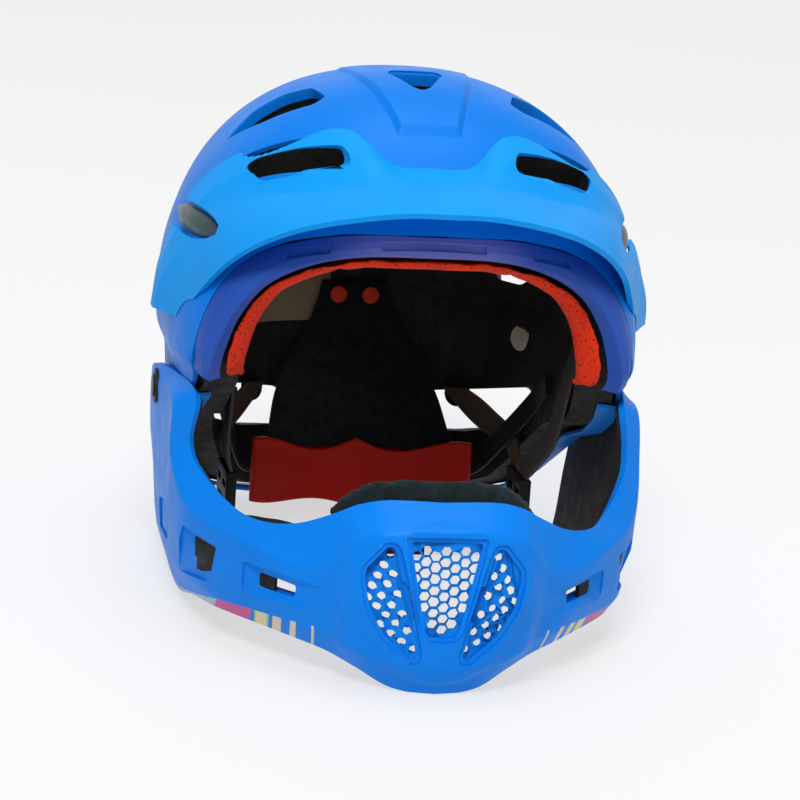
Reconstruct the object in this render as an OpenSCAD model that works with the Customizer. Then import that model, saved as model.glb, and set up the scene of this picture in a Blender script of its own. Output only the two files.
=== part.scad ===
// Child's full-face bicycle helmet. +Z up, face opening towards -Y, +X to the
// right of someone looking at the face opening. Millimetres, chin on z = 0.

/* [Head shell] */
// Half width of the shell at the temples
shell_half = 103; // [101:1:105]
// Shell reach in front of the crown axis
shell_front = 98; // [96:1:100]
// Shell reach behind the crown axis
shell_rear = 130; // [128:1:132]
// Position of the crown axis along the helmet
axis_y = -20; // [-22:1:-18]
// Height of the crown above the floor
crown_z = 237.5; // [235.5:0.5:239.5]
// Height of the widest line of the shell
eq_z = 132; // [130:1:134]
// Thickness of the outer skin
skin = 2; // [1.8:0.1:2.2]
// Thickness of the foam liner
liner = 17; // [15:0.5:18]
// Gap between mouldings that lie against each other
gap = 0.3; // [0.25:0.05:0.4]
// Height of the raised crown panel above the shell
boss_rise = 2.4; // [1.5:0.1:3]
// Width of the front and rear vent slots
vent_width = 11; // [9:0.5:13]

/* [Visor] */
// Forward shift of the visor lip
visor_reach = 0; // [-4:1:4]
// Thickness of the visor
visor_wall = 2.4; // [2:0.1:2.8]
// Height of the two visor slots
visor_slot = 9; // [7:0.5:10]

/* [Face opening trim] */
// Thickness of the trim moulding
trim_wall = 2.2; // [2:0.1:2.5]
// Depth of the three recesses in the trim
trim_recess = 1; // [0.6:0.1:1.3]

/* [Chin guard] */
// Thickness of the chin guard wall
guard_wall = 3; // [2.6:0.1:3.2]
// Forward shift of the muzzle
muzzle_reach = 0; // [-4:1:4]
// Height of the small side windows
window_high = 13; // [11:0.5:14]
// Travel of the chin guard when it is pulled off forwards
guard_travel = 120;
// Diameter of the release buttons
button_d = 10; // [9:0.5:11]

/* [Grille] */
// Distance between the centres of neighbouring hexagons
hex_pitch = 4.7; // [4.5:0.1:5]
// Web left between hexagons
hex_web = 0.8; // [0.7:0.1:1]
// Across flats of the side grille holes
side_hole = 3.5; // [3.2:0.1:3.8]
// Thickness of the grille inserts
grille_wall = 1.8; // [1.5:0.1:2]

/* [Pads] */
// Thickness of the brow pad
pad_thick = 6; // [5:0.5:7]
// Thickness of the chin pad
chin_pad_thick = 9; // [8:0.5:10]

/* [Retention] */
// Diameter of the adjuster dial
dial_d = 24; // [22:0.5:26]
// Grips round the dial
dial_grips = 12; // [8:1:16]
// Radius at which the adjuster bands run past the pinion
rack_r = 3.5; // [3.5:0.1:3.9]
// Width of the webbing
web_wide = 15; // [13:0.5:16]
// Thickness of the webbing
web_thick = 1.4; // [1.2:0.1:1.6]

/* [View] */
// Piece to draw

/* [Hidden] */
$fn = 48;

blue = [0.05, 0.33, 0.80];
cyan = [0.08, 0.55, 0.93];
lilac = [0.16, 0.32, 0.76];
black = [0.05, 0.05, 0.06];
dark = [0.10, 0.10, 0.11];
orange = [0.93, 0.30, 0.10];
red = [0.80, 0.12, 0.08];
grey = [0.42, 0.47, 0.48];

// The pieces are drawn upright to the head. stand tips them back until the chin
// and the back rim both touch the floor, and centres the whole over the origin.
tilt = 4.6;
module stand() translate([0, 30.3, -14.4]) rotate([-tilt, 0, 0]) children();
module floor_cut() translate([-120, -200, -20]) cube([240, 400, 20]);

// ---- surface helpers

function clamp(v, a, b) = min(max(v, a), b);
function ease(v) = let (c = clamp(v, 0, 1)) c*c*(3 - 2*c);
function spow(v, p) = v < 0 ? -pow(-v, p) : pow(v, p);
function unit(v) = v/max(norm(v), 1e-9);
function last(L) = L[len(L) - 1];
function flip(p) = [-p[0], p[1], p[2]];
// Moves what sits at the sides of the head along with the width of the shell
function side(p) = p + [sign(p[0])*(shell_half - 103)*ease((abs(p[0]) - 25)/40), 0, 0];
function sides(P) = [for (p = P) side(p)];

// Point at parameter u of the smooth curve through the points P
function curve(P, u) = let (n = len(P) - 1, i = min(floor(u), n - 1), f = u - i,
  a = P[max(i - 1, 0)], b = P[i], c = P[i + 1], d = P[min(i + 2, n)])
  0.5*(2*b + (c - a)*f + (2*a - 5*b + 4*c - d)*f*f + (3*b - a - 3*c + d)*f*f*f);
function resample(P, n) = [for (i = [0:n]) curve(P, i*(len(P) - 1)/n)];

// Normal of grid G at row k, column m
function gn(G, k, m, wrap) = let (K = len(G), M = len(G[0]),
  k0 = wrap ? (k + K - 1) % K : max(k - 1, 0), k1 = wrap ? (k + 1) % K : min(k + 1, K - 1),
  a = G[k1][m] - G[k0][m], b = G[k][min(m + 1, M - 1)] - G[k][max(m - 1, 0)])
  unit(cross(a, b));
function shift(G, d, wrap) = [for (k = [0:len(G) - 1])
  [for (m = [0:len(G[0]) - 1]) G[k][m] + d*gn(G, k, m, wrap)]];

function upward(G) = [for (r = G) [for (m = [len(r) - 1:-1:0]) r[m]]];

// Solid between two grids of points; wrap joins the last row to the first,
// pole closes the last column to a single point
module plate(O, I, wrap = false, pole = false) {
  K = len(O); M = len(O[0]);
  top = O[0][M - 1]; n = K*M;
  function mid(G) = [for (c = [0:2]) let (s = [for (r = G) last(r)[c]])
    (s*[for (v = s) 1])/K];
  kk = wrap ? K - 1 : K - 2;
  function o(k, m) = (k % K)*M + m;
  function i(k, m) = n + (k % K)*M + m;
  pts = concat([for (r = O) each r], [for (r = I) each r], pole ? [mid(O), mid(I)] : []);
  f = concat(
    [for (k = [0:kk], m = [0:M - 2]) each [[o(k, m), o(k, m + 1), o(k + 1, m)],
      [o(k + 1, m), o(k, m + 1), o(k + 1, m + 1)]]],
    [for (k = [0:kk], m = [0:M - 2]) each [[i(k, m), i(k + 1, m), i(k, m + 1)],
      [i(k + 1, m), i(k + 1, m + 1), i(k, m + 1)]]],
    [for (k = [0:kk]) each [[o(k, 0), o(k + 1, 0), i(k, 0)], [i(k, 0), o(k + 1, 0), i(k + 1, 0)]]],
    pole ? [for (k = [0:kk]) each [[o(k, M - 1), 2*n, o(k + 1, M - 1)],
        [i(k, M - 1), i(k + 1, M - 1), 2*n + 1]]]
      : [for (k = [0:kk]) each [[o(k, M - 1), i(k, M - 1), o(k + 1, M - 1)],
        [i(k, M - 1), i(k + 1, M - 1), o(k + 1, M - 1)]]],
    wrap ? [] : [for (m = [0:M - 2]) each [[o(0, m), i(0, m), o(0, m + 1)],
      [i(0, m), i(0, m + 1), o(0, m + 1)],
      [o(K - 1, m), o(K - 1, m + 1), i(K - 1, m)],
      [i(K - 1, m), o(K - 1, m + 1), i(K - 1, m + 1)]]]);
  polyhedron(pts, f);
}

// Both halves of a strip given by the stations of its right half
function both(R) = concat([for (k = [len(R) - 1:-1:1]) [for (p = R[k]) flip(p)]], R);

// ---- head form: th is the angle from the front, z the height, t the depth

function fwd(th) = pow(max(0, cos(th)), 2);
function aft(th) = pow(max(0, -cos(th)), 2);
function nv(th) = 2.3 - 0.07*fwd(th) - 0.2*aft(th);
function np(z, th) = cos(th) > 0
  ? lookup(z, [[60, 3.2], [115, 3.6], [172, 2.25], [245, 2.25]])
  : lookup(z, [[20, 2.6], [130, 2.65], [172, 2.15], [245, 2.15]]);
// Height of row q: negative below the widest line, 90 at the crown
function zq(q, th) = q < 0 ? eq_z + 1.5*q : eq_z + (crown_z - eq_z)*pow(sin(q), 2/nv(th));
function qz(z, th) = z < eq_z ? (z - eq_z)/1.5
  : asin(pow(min(1, (z - eq_z)/(crown_z - eq_z)), nv(th)/2));
function dist(th) = abs(th > 180 ? th - 360 : th);
function inset(z, th) = let (d = dist(th)) 3.5*ease((120 - z)/12)*ease((135 - d)/12);
function head(q, th, t) = let (z = zq(q, th), n = np(z, th),
  r = q < 0 ? 1 - (0.087 + 0.07*aft(th))*pow((eq_z - z)/114, 1.2) : pow(cos(q), 2/nv(th)),
  in = t + (q < 0 ? inset(z, th) : 0),
  k = q < 0 ? 1 : cos(q), s = q < 0 ? 0 : sin(q),
  a = shell_half*r - in*k, b = (cos(th) > 0 ? shell_front : shell_rear)*r - in*k)
  [a*spow(sin(th), 2/n), axis_y - b*spow(cos(th), 2/n), z - in*s];
function head_z(z, th, t) = head(qz(z, th), th, t);

// Lower edge of the skin and of the foam
function skin_rim(th) = lookup(dist(th), [[0, 180], [20, 179], [35, 174], [45, 166], [52, 155],
  [58, 140], [62, 126], [65, 113], [72, 101], [80, 92], [90, 82], [100, 70], [112, 53],
  [125, 38], [140, 30.5], [160, 26], [180, 25.3]]);
function foam_rim(th) = lookup(dist(th), [[0, 175], [20, 173.5], [35, 167], [45, 155], [52, 139],
  [57, 124], [61, 112.5], [66, 104], [72, 100], [80, 91], [90, 81], [100, 69], [112, 52],
  [125, 37], [140, 29.5], [160, 25], [180, 24.3]]);
angles = [0, 8, 16, 24, 32, 38, 44, 49, 54, 59, 63, 67, 73, 80, 88, 96, 104, 112, 120,
  129, 138, 148, 158, 169];
turn = concat(angles, [180], [for (i = [len(angles) - 1:-1:1]) 360 - angles[i]]);

module dome(t0, t1, foam, rows) {
  function grid(t) = [for (th = turn) let (z = foam ? foam_rim(th) : skin_rim(th), q = qz(z, th))
    [for (j = [0:rows]) head(q + (86 - q)*j/rows, th,
      t + (foam ? 0.9*ease(1 - abs(dist(th) - 60)/15) : 0))]];
  plate(grid(t0), grid(t1), wrap = true, pole = true);
}

// Height of the crown surface over a point in plan
function crown(x, y, t) = let (d = y - axis_y, n = d < 0 ? 2.25 : 2.15,
  b = d < 0 ? shell_front : shell_rear,
  r = pow(pow(abs(x)/shell_half, n) + pow(abs(d)/b, n), 1/n),
  c = r < 1e-6 ? 0 : pow(clamp(abs(d)/(b*r), 0, 1), n/2),
  v = 2.3 - (d < 0 ? 0.07 : 0.2)*c*c)
  eq_z + (crown_z - eq_z)*pow(max(0, 1 - pow(r, v)), 1/v) - t;

// Slot cutter: a rounded bar from a to b, driven along d
module slot(a, b, w, d) {
  hull() for (p = [a, b], s = [0, 1]) translate(side(p) + s*d) sphere(d = w, $fn = 12);
}
module pair() { children(); mirror([1, 0, 0]) children(); }

// Openings shared by the skin and the foam; grow widens them in the skin
module vents(grow) {
  w = vent_width + grow;
  pair() slot([42, -50, 232], [80, -32, 207], w, [-22, 26, -40]);
  pair() slot([38, -86, 214.5], [71, -64, 201.5], w - 5, [-9, 36, -32]);
  hull() for (z = [200, 245]) {
    for (s = [-1, 1]) translate([s*7, -30, z]) sphere(d = 7 + grow, $fn = 12);
    translate([0, -54, z]) sphere(d = 4 + grow, $fn = 12);
  }
  pair() slot([24, 34, 240], [46, 78, 215], w, [-8, -14, -48]);
  pair() slot([37, 104, 60], [83, 76, 68], w + 6, [-10, -34, 7]);
  pair() slot([68, 88, 130], [80, 74, 134], w, [-24, -30, 0]);
}

module top_shell() color(blue) stand() difference() {
  union() {
    dome(0, skin, false, 10);
    boss();
  }
  vents(1);
  pair() hull() for (x = [80, 112]) translate(side([x, -22, 94])) rotate([0, 90, 0])
    cylinder(d = 8, h = 0.1, $fn = 16);
}

// Raised panel that runs from its flat front edge up over the crown
module boss() {
  ys = [-80, -68, -54, -38, -20, -2, 18, 38];
  function w(y) = lookup(y, [[-80, 12], [-38, 23], [-4, 28], [38, 20]]);
  function rise(y) = boss_rise*lookup(y, [[-54, 1], [-38, 0.85], [-20, 0.5], [38, 0.2]]);
  function grid(t, k) = [for (y = ys) [for (x = [1:-0.25:-1])
    let (X = x*(w(y) + k), Y = y + (y < -79 ? -k : 0)) [X, Y, crown(X, Y, t > 0 ? t : -rise(y))]]];
  plate(grid(0, 0), grid(1.5, 2.5));
}

foam_out = skin + gap + 1;
foam_in = foam_out + liner;
module foam_liner() color(dark) stand() difference() {
  dome(foam_out, foam_in, true, 10);
  vents(0);
  pair() hull() for (y = [84, 100]) translate([7.6, y, 118]) rotate([90, 0, 0])
    cylinder(d = 5.6, h = 0.1, $fn = 16);
}

// ---- trim round the face opening: outer seam first, then the inner edge
function trim_st(z0, th0, z1, th1) = [head_z(z0, th0, 0), head_z((z0*2 + z1)/3, (th0*2 + th1)/3, -0.6),
  head_z((z0 + z1*2)/3, (th0 + th1*2)/3, -0.6), head_z(z1, th1, 0.6), head_z(z1 + 0.5, th1 + 0.4, 7)];
trim_in = [[179.3, 0, 171.5, 0], [178.7, 16, 170.5, 15], [174.8, 30, 165, 28], [167.5, 42, 154.5, 39],
  [157, 50, 140, 46], [143, 56, 126, 50.5], [128, 60.5, 116, 54], [114.2, 64, 110, 57]];

module opening_trim() color(lilac) stand() difference() {
  R = resample([for (s = trim_in) trim_st(s[0], s[1], s[2], s[3])], 14);
  G = upward(both(R));
  plate(G, shift(G, -trim_wall, false));
  for (r = [[-11, 11], [23, 34], [-34, -23]], i = [0:2]) let (d = (r[1] - r[0])/3)
    hull() for (e = [0, 1], v = [-1.7, 1.7], t = [-4, trim_recess - 0.5])
      let (th = r[0] + (i + e)*d)
        translate(head_z(175.6 - 7.5*pow(abs(th)/34, 2) + v, th, t)) cube(0.3, center = true);
}

// ---- visor: stations of the right half; rows run from the edge on the shell,
// over the shelf and the face, down to the lip
visor_rows = [
  [[0, -84, 210], [0, -102, 204], [0, -119, 200.5], [0, -140, 194]],
  [[16, -84, 210], [15, -102, 204], [15, -118, 201], [15, -140, 194]],
  [[28, -80, 216.5], [27, -97, 209.5], [27, -113, 200.5], [27, -138, 192.6]],
  [[38, -74, 218.5], [38, -90, 210.5], [39, -106, 198.5], [38, -135, 190.5]],
  [[51, -68, 216], [52, -83, 208], [54, -99, 194.5], [50, -130, 187.3]],
  [[66, -60, 210], [67, -74, 202], [70, -88, 190.5], [62, -124, 182.8]],
  [[80, -51, 201], [81, -64, 194], [84, -76, 183], [76, -112, 174]],
  [[92, -42, 189], [93, -54, 182], [95, -64, 171], [86, -99, 163.5]],
  [[101, -36, 172], [102, -46, 167], [102.5, -55, 159], [93, -84, 150.5]],
  [[107, -33, 152], [108, -41, 149], [108, -48, 145], [97.5, -71, 139.5]],
  [[109, -34, 135], [110, -39, 134], [109.5, -44, 133], [100, -63, 132]]];
visor_half = [for (R = resample(visor_rows, 18)) let (r = sides(R)) [r[0], (r[0] + r[1])/2 + [0, 0, 0.6], r[1],
  (r[1] + r[2])/2 + [0, 0, 0.4], r[2], (r[2] + r[3])/2 + [0, -1 - visor_reach/2, 1],
  r[3] - [0, visor_reach, 0]]];

module visor() color(cyan) stand() difference() {
  G = upward(both(visor_half));
  plate(G, shift(G, -visor_wall, false));
  pair() {
    slot([38, -89, 214], [71, -67, 201], visor_slot, [0, 14, -18]);
    slot([38, -93, 215], [71, -71, 202], visor_slot + 1, [0, -6, 5]);
    slot([39, -97, 212.6], [72, -75, 199.6], visor_slot - 1, [0, -6, 3]);
    plate(upward(trim_grid(-12, 0, 1.6)), upward(trim_grid(1, 0, 1.6)));
    hull() for (u = [0, 1], x = [94, 112]) translate(side([x, -34 + 30*u, 173]))
      sphere(d = 13 + 3*u, $fn = 12);
  }
  dome(-gap, 20, false, 10);
}

// Posts that carry the visor ends clear of the shell
module visor_pins() color(dark) stand() pair() translate(side([103.2, -42, 141])) rotate([0, 90, 0])
  cylinder(d = 7, h = 2.4);

// Pointed oval cover at the side of the shell, in a notch of the visor edge
function trim_grid(t0, t1, grow) = [for (i = [0:12]) let (u = i/6 - 1,
  w = 4.8*pow(max(0, 1 - u*u), 0.8) + 0.25 + grow, th = 73 - (17 + grow)*u, z = 172.8 - 1.2*u)
  [for (m = [-2:2]) head_z(z + w*m/2, th, t0 + t1*(1 - m*m/5)*(1 - 0.8*u*u))]];
module side_trim(s) color(grey) stand() mirror([s < 0 ? 1 : 0, 0, 0])
  plate(upward(trim_grid(-0.4, -3, 0)), upward(trim_grid(-0.4, 0, 0)));
module side_trim_left() side_trim(-1);
module side_trim_right() side_trim(1);

// Moulding that wraps the lower edge of the shell behind the ears
module neck_trim() {
  ths = [for (i = [-12:12]) 180 + i*9.3];
  G = [for (th = ths) let (z = foam_rim(th) - 0.4) [head_z(z - 2.4, th, 0), head_z(z - 0.4, th, 0)]];
  H = [for (th = ths) let (z = foam_rim(th) - 0.4) [head_z(z - 2.4, th, 9), head_z(z - 0.4, th, 9)]];
  color(blue) difference() {
    stand() plate(G, H);
    floor_cut();
  }
}

// ---- chin guard: stations of the right half, bottom edge first
guard_rows = [
  [[0, -175, -1], [0, -182.5, 13], [0, -185.5, 40], [0, -183.5, 71], [0, -170, 80]],
  [[18, -172, 2], [20, -180, 14], [20, -184, 40], [20, -181.5, 70.5], [22, -168, 80]],
  [[32, -165, 8.5], [36, -173, 18], [38, -178, 40], [36, -176, 65], [34, -164, 77]],
  [[43, -157.5, 13], [44, -164, 21], [46, -168, 38], [46.5, -168, 52], [44, -159, 71.5]],
  [[55, -147.5, 15.5], [57, -154, 23], [60, -157, 35], [60, -156, 49], [57, -148, 64.5]],
  [[70, -131.5, 17.5], [73, -136, 25], [76.5, -138, 36], [75.3, -140, 53], [69.5, -136, 62]],
  [[83.5, -113, 18.5], [87.5, -117, 26], [90.5, -118, 38], [88.5, -120, 56], [79.5, -118, 63.5]],
  [[91, -92, 18], [95, -94, 27], [98.3, -96, 42], [98.8, -98, 61.5], [91.2, -97.5, 73.5]],
  [[93.5, -66, 13], [98, -66, 27], [101.5, -72, 50], [103, -80, 79], [95.5, -86, 83.5]],
  [[94, -38, 12.5], [98, -38, 26], [101, -52, 50], [102.3, -71, 101], [93.8, -80, 105]],
  [[94, -10, 15], [97, -10, 26], [100, -14, 50], [104, -18, 93], [103.5, -22, 104]],
  [[94, 14, 17], [96.5, 14, 27], [98.8, 14, 50], [102, 12, 82], [102.5, 8, 92]],
  [[94, 31, 19], [95.5, 31, 29], [97.2, 30, 48], [99.5, 28, 64], [100, 26, 72]]];
guard_half = [for (r = resample(guard_rows, 24)) [for (p = sides(r))
  p - [0, muzzle_reach*ease((-p[1] - 120)/60), 0]]];
guard_grid = both(guard_half);

module lens(P, y0, y1) {
  hull() for (p = P, y = [y0, y1]) translate([p[0], y, p[1]]) rotate([90, 0, 0])
    cylinder(d = 2, h = 0.1, $fn = 12);
}
centre_win = [[-15, 66.5], [15, 66.5], [7, 29], [5, 26.5], [-5, 26.5], [-7, 29]];
side_win = [[20, 62], [21.5, 64.3], [24.5, 64.3], [32.5, 54.5], [33, 50], [30.5, 38], [24, 26.5],
  [12, 16], [9.6, 16.5], [9.2, 19]];

module chin_guard() color(blue) difference() {
  stand() guard_cut();
  floor_cut();
}
module guard_cut() difference() {
  plate(guard_grid, shift(guard_grid, -guard_wall, false));
  lens(centre_win, -200, -172);
  pair() {
    lens(side_win, -196, -166);
    slot([71, -146, 36.8], [60, -155, 35], window_high - 6, [-12, 16, 0]);
    hull() { translate(side([76, -149, 39])) sphere(d = window_high + 2, $fn = 16);
      translate(side([44, -175, 31])) sphere(d = 4, $fn = 12); }
    slot([94, -111, 37.5], [97, -100, 39], window_high - 4, [-18, 6, 0]);
    slot([100.5, -112, 35.6], [104, -98, 37.5], window_high + 3, [-1.5, 0, 0]);
    hull() for (p = [[101.2, -62, 43, 17], [100.2, -22, 40, 14]]) translate(side([p[0] - 1.7, p[1], p[2]]))
      rotate([0, 90, 0]) cylinder(d = p[3], h = 8, $fn = 24);
    hull() for (x = [90, 112]) translate(side([x, -22, 94])) rotate([0, 90, 0])
      cylinder(d = button_d + 5.8, h = 0.1, $fn = 32);
  }
  for (d = [0, 1.5]) translate([0, 0, -d]) dome(-gap, 20, false, 10);
}

// Foam strip behind the upper edge of the guard
module chin_foam() color(black) stand() {
  rows = [for (k = [0:15]) let (r = guard_half[k])
    [r[3] + 0.35*(r[4] - r[3]), r[3] + 0.7*(r[4] - r[3]), r[4]]];
  G = both(rows);
  plate(shift(G, -guard_wall - gap - 0.3, false), shift(G, -guard_wall - 8.2, false));
}

// Soft arched pad over the middle of the chin bar
module chin_pad() {
  function grid(s) = [for (i = [-8:8]) let (u = i/8, zt = 88 - 15*pow(abs(u), 4), zb = 58 + 6*u*u,
    h = 0.5*chin_pad_thick*(s < 0 ? 1 : 1.1)*pow(1 - pow(abs(u), 4)*0.9, 0.5))
    [for (m = [0:6]) let (v = m/6, b = sin(180*clamp(v, 0.03, 0.97)))
      [44*u, -156.7 + 12*u*u + s*h*pow(b, 0.6), zb + (zt - zb)*v]]];
  color(dark) stand() plate(grid(-1), grid(1));
}

// ---- hexagon grilles
module hexes(pts, d) for (p = pts) translate(p) circle(d = d/cos(30), $fn = 6);
module insert(P, cells, d, grow) {
  linear_extrude(grille_wall) difference() {
    offset(r = grow) polygon(P);
    hexes(cells, d);
  }
}
// How many cells each column holds, from the middle outwards
column = [8, 7, 6, 3];
centre_cells = [for (i = [-3:3], j = [0:column[abs(i)] - 1])
  [i*hex_pitch*cos(30), 62.6 - (j + (i % 2 == 0 ? 0 : 0.5))*hex_pitch]];
side_cells = [[21.9, 60], [24.1, 55.1], [26.1, 50.4], [20.5, 51.9], [27.9, 45.9],
  [22.5, 47.5], [29.4, 41.1], [24.3, 42.2], [18.5, 43.9], [25.8, 37.7], [20.4, 38.9],
  [23.8, 29.9], [22.2, 34.4], [16.3, 35.8], [18.4, 31.3], [19.7, 26.7], [13.8, 28.4],
  [15.6, 23.8], [10.9, 20.8]];
module grille_centre() color(blue) stand() translate([0, -177.4, 0]) rotate([90, 0, 0])
  insert(centre_win, centre_cells, hex_pitch - hex_web, 2.8);
module side_insert() translate([24, -172.9, 0]) rotate([90, 0, 17]) translate([-24, 0, 0])
  linear_extrude(grille_wall) difference() {
    offset(r = 1.6) polygon(side_win);
    for (c = side_cells) translate(c) circle(d = side_hole, $fn = 12);
  }
module grille_right() color(blue) stand() side_insert();
module grille_left() color(blue) stand() mirror([1, 0, 0]) side_insert();

// ---- chin guard release
module seat() translate(side([98.6, -22, 94])) rotate([0, 90, 0]) difference() {
  cylinder(d = button_d + 5.2, h = 5.8);
  translate([0, 0, 1.4]) cylinder(d = button_d + 0.1, h = 6);
  translate([0, 0, -1]) cylinder(d = 5.1, h = 4);
}
module button() translate(side([98.2, -22, 94])) rotate([0, 90, 0]) {
  cylinder(d = 5, h = 5);
  translate([0, 0, 4.2]) cylinder(d = button_d, h = 3);
}
module latch_seat_right() color(dark) stand() seat();
module latch_seat_left() color(dark) stand() mirror([1, 0, 0]) seat();
module latch_button_right() color(black) stand() button();
module latch_button_left() color(black) stand() mirror([1, 0, 0]) button();

// ---- pads
module brow_pad() {
  t0 = foam_in + 2.2;
  function grid(s) = [for (i = [-12:12]) let (th = i*5.2, z0 = foam_rim(th) - 0.5,
    e = sin(acos(clamp(abs(i)/12.6, 0, 1))), h = 4.4 + 3.6*ease((abs(th) - 34)/14))
    [for (m = [0:5]) let (b = sin(180*clamp(m/5, 0.06, 0.94)))
      head_z(z0 + m*h, th, t0 + (s > 0 ? pad_thick*(0.3 + 0.7*b*e)*(1 + 0.6*ease((abs(th) - 34)/14)) : 0))]];
  color(orange) stand() plate(grid(0), grid(1));
}
module crown_pad() {
  t0 = foam_in + 1.2;
  function grid(s) = [for (i = [0:8]) let (y = -46 + 12*i, w = 19 - 9*pow(abs(i/4 - 1), 3))
    [for (m = [2:-1:-2]) let (x = w*m/2, b = (1 - pow(m/2, 4))*(1 - pow(i/4 - 1, 6)))
      [x, y, crown(x*1.27, y*1.2, 0) - t0 - (s > 0 ? 1.5 + 4.5*b : 0)]]];
  color(orange) stand() plate(grid(0), grid(1));
}

// ---- retention: cradle behind the head, drawn in by a dial and two racks
cr_z = 40;
cr_y = 53;
module cradle() color(red) stand() {
  rows = [for (i = [-12:12]) let (u = i/12, y = cr_y - 19.5*u*u, c = pow(abs(u), 2),
    zt = 56 - 5*sin(270*abs(u)) - 2*c, zb = 23 + 9*c + 3*sin(270*abs(u)))
    [for (m = [0:3]) side([51*u, y, zb + (zt - zb)*m/3])]];
  G = rows;
  plate(shift(G, -1.2, false), shift(G, 1.2, false));
}
module dial_housing() color(red) stand() difference() {
  translate([-22, cr_y + 1.7, cr_z - 11]) cube([44, 8.6, 22]);
  translate([0, cr_y + 11, cr_z]) rotate([90, 0, 0]) cylinder(d = 5.1, h = 5);
  translate([0, cr_y + 7.6, cr_z]) rotate([90, 0, 0]) cylinder(r = rack_r + 0.4, h = 4.4);
  for (s = [-1, 1]) translate([-30, cr_y + 3.9, cr_z + s*(rack_r + 2) - 2.3]) cube([60, 2.6, 4.6]);
}
module dial() color(black) stand() translate([0, cr_y + 10.7, cr_z]) rotate([-90, 0, 0]) {
  difference() {
    cylinder(d = dial_d, h = 6.5);
    for (i = [0:dial_grips - 1]) rotate([0, 0, i*360/dial_grips]) translate([dial_d/2 + 0.6, 0, -1])
      cylinder(d = 3.4, h = 9, $fn = 24);
  }
  translate([0, 0, -7]) cylinder(d = 5, h = 7.5);
  translate([0, 0, -7.2]) cylinder(r = rack_r - 0.35, h = 4);
}
module band(s) {
  translate([s > 0 ? -9 : -37, cr_y + 4.2, cr_z + (s > 0 ? -1 : 1)*(rack_r + 2) - 2]) difference() {
    cube([46, 2, 4]);
    for (i = [0:8]) translate([s > 0 ? 2 + i*2.2 : 24.4 + i*2.2, -1, s > 0 ? 3.4 : -0.4])
      cube([1.1, 4, 1]);
    translate([s > 0 ? 41 : 2, -1, 1.2]) cube([3, 4, 1.6]);
  }
}
module band_right() color(black) stand() band(1);
module band_left() color(black) stand() band(-1);

// Flat strip through the points P; across[i] points along the width
module web(P, across, wide, thick, n) {
  Q = resample(P, n);
  A = resample(across, n);
  G = [for (i = [0:n]) let (a = unit(A[i])*wide/2) [Q[i] - a, Q[i] + a]];
  plate(shift(G, thick/2, false), shift(G, -thick/2, false));
}
module headband() web(sides([[26, 60.4, 40], [36, 60.4, 40], [47, 56.2, 42.5], [56, 43, 49], [64, 24, 66],
  [72.2, 4, 86], [73.8, -14, 99]]),
  [[0, 0, 1], [0, 0, 1], [0, 0, 1], [0, 0.2, 1], [0, 0.45, 1], [0, 0.6, 1], [0, 0.6, 1]], 11, 1.2, 12);
module headband_right() color(black) stand() headband();
module headband_left() color(black) stand() mirror([1, 0, 0]) headband();
// Bell-shaped nape panel that hangs from two pins and carries the cradle
module hanger() color(black) stand() difference() {
  rows = [[124, 87.4, 15], [113, 86.2, 18], [100, 83.2, 24], [88, 78.5, 32], [76, 72.5, 38],
    [66, 65.5, 41], [57, 57.5, 43], [51.8, 55, 44]];
  G = [for (r = rows) [for (i = [-5:5]) let (x = r[2]*i/5) [x, r[1] - 0.0075*x*x, r[0]]]];
  plate(shift(G, -0.6, false), shift(G, 0.6, false));
  pair() translate([7.6, 80, 118]) rotate([-90, 0, 0]) cylinder(d = 5, h = 12);
}
module hanger_pins() color(orange) stand() pair() translate([7.6, 0, 118]) rotate([-90, 0, 0]) {
  translate([0, 0, 83.3]) cylinder(d = 8, h = 1.1);
  translate([0, 0, 84]) cylinder(d = 4.6, h = 13.7);
}

// ---- straps, their anchors, dividers and buckle
module front_strap() web(sides([[77.2, -55, 125], [74.2, -50, 104], [73, -36, 80], [69.5, -17, 63],
  [67, -8.7, 54.4]]),
  [[0, 1, 0], [0, 1, 0.15], [0, 1, 0.5], [0, 1, 0.3], [0, 1, 0]], web_wide, web_thick, 9);
module rear_strap() web(sides([[47.3, 64.05, 79], [58.6, 47, 69], [67.4, 25, 63], [67, 7.7, 54.4]]),
  [[0.65, -0.76, 0.1], [0.4, -0.76, 0.7], [0.16, -1, 0.6], [0, -1, 0]], web_wide, web_thick, 9);
module chin_strap(s) mirror([s < 0 ? 1 : 0, 0, 0])
  web(sides([[67, -1, 33.4], [64, -1, 28], [53, 0, 22.6], [38, 2, 20.4], [25, 3, 20]]),
    [[0, 1, 0], [0, 1, 0], [0, 1, 0], [0, 1, 0], [0, 1, 0]], web_wide, web_thick, 10);
module front_strap_right() color(black) stand() front_strap();
module front_strap_left() color(black) stand() mirror([1, 0, 0]) front_strap();
module rear_strap_right() color(black) stand() rear_strap();
module rear_strap_left() color(black) stand() mirror([1, 0, 0]) rear_strap();
module chin_strap_right() color(black) stand() chin_strap(1);
module chin_strap_left() color(black) stand() chin_strap(-1);
module anchor(p, turn, lean) translate(side(p)) rotate([0, 0, turn]) rotate([0, 90 + lean, 0]) difference() {
  cylinder(d = 13, h = 2.2);
  translate([0, 0, -1]) cylinder(d = 5, h = 2);
}
module strap_anchors() color(dark) stand() pair() {
  anchor([48.1, 65.1, 76.4], 49, 9);
  anchor([76.2, -55, 133], -10, -3);
}
module divider() translate(side([66, -16.7, 34]) - [1.4, 0, 0]) difference() {
  cube([4.8, 32, 20]);
  for (y = [3, 19]) translate([-1, y, 12]) cube([7, 10, 3]);
  translate([-1, 7.5, 4]) cube([7, web_wide + 2, 3]);
}
module divider_right() color(dark) stand() divider();
module divider_left() color(dark) stand() mirror([1, 0, 0]) divider();
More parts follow.
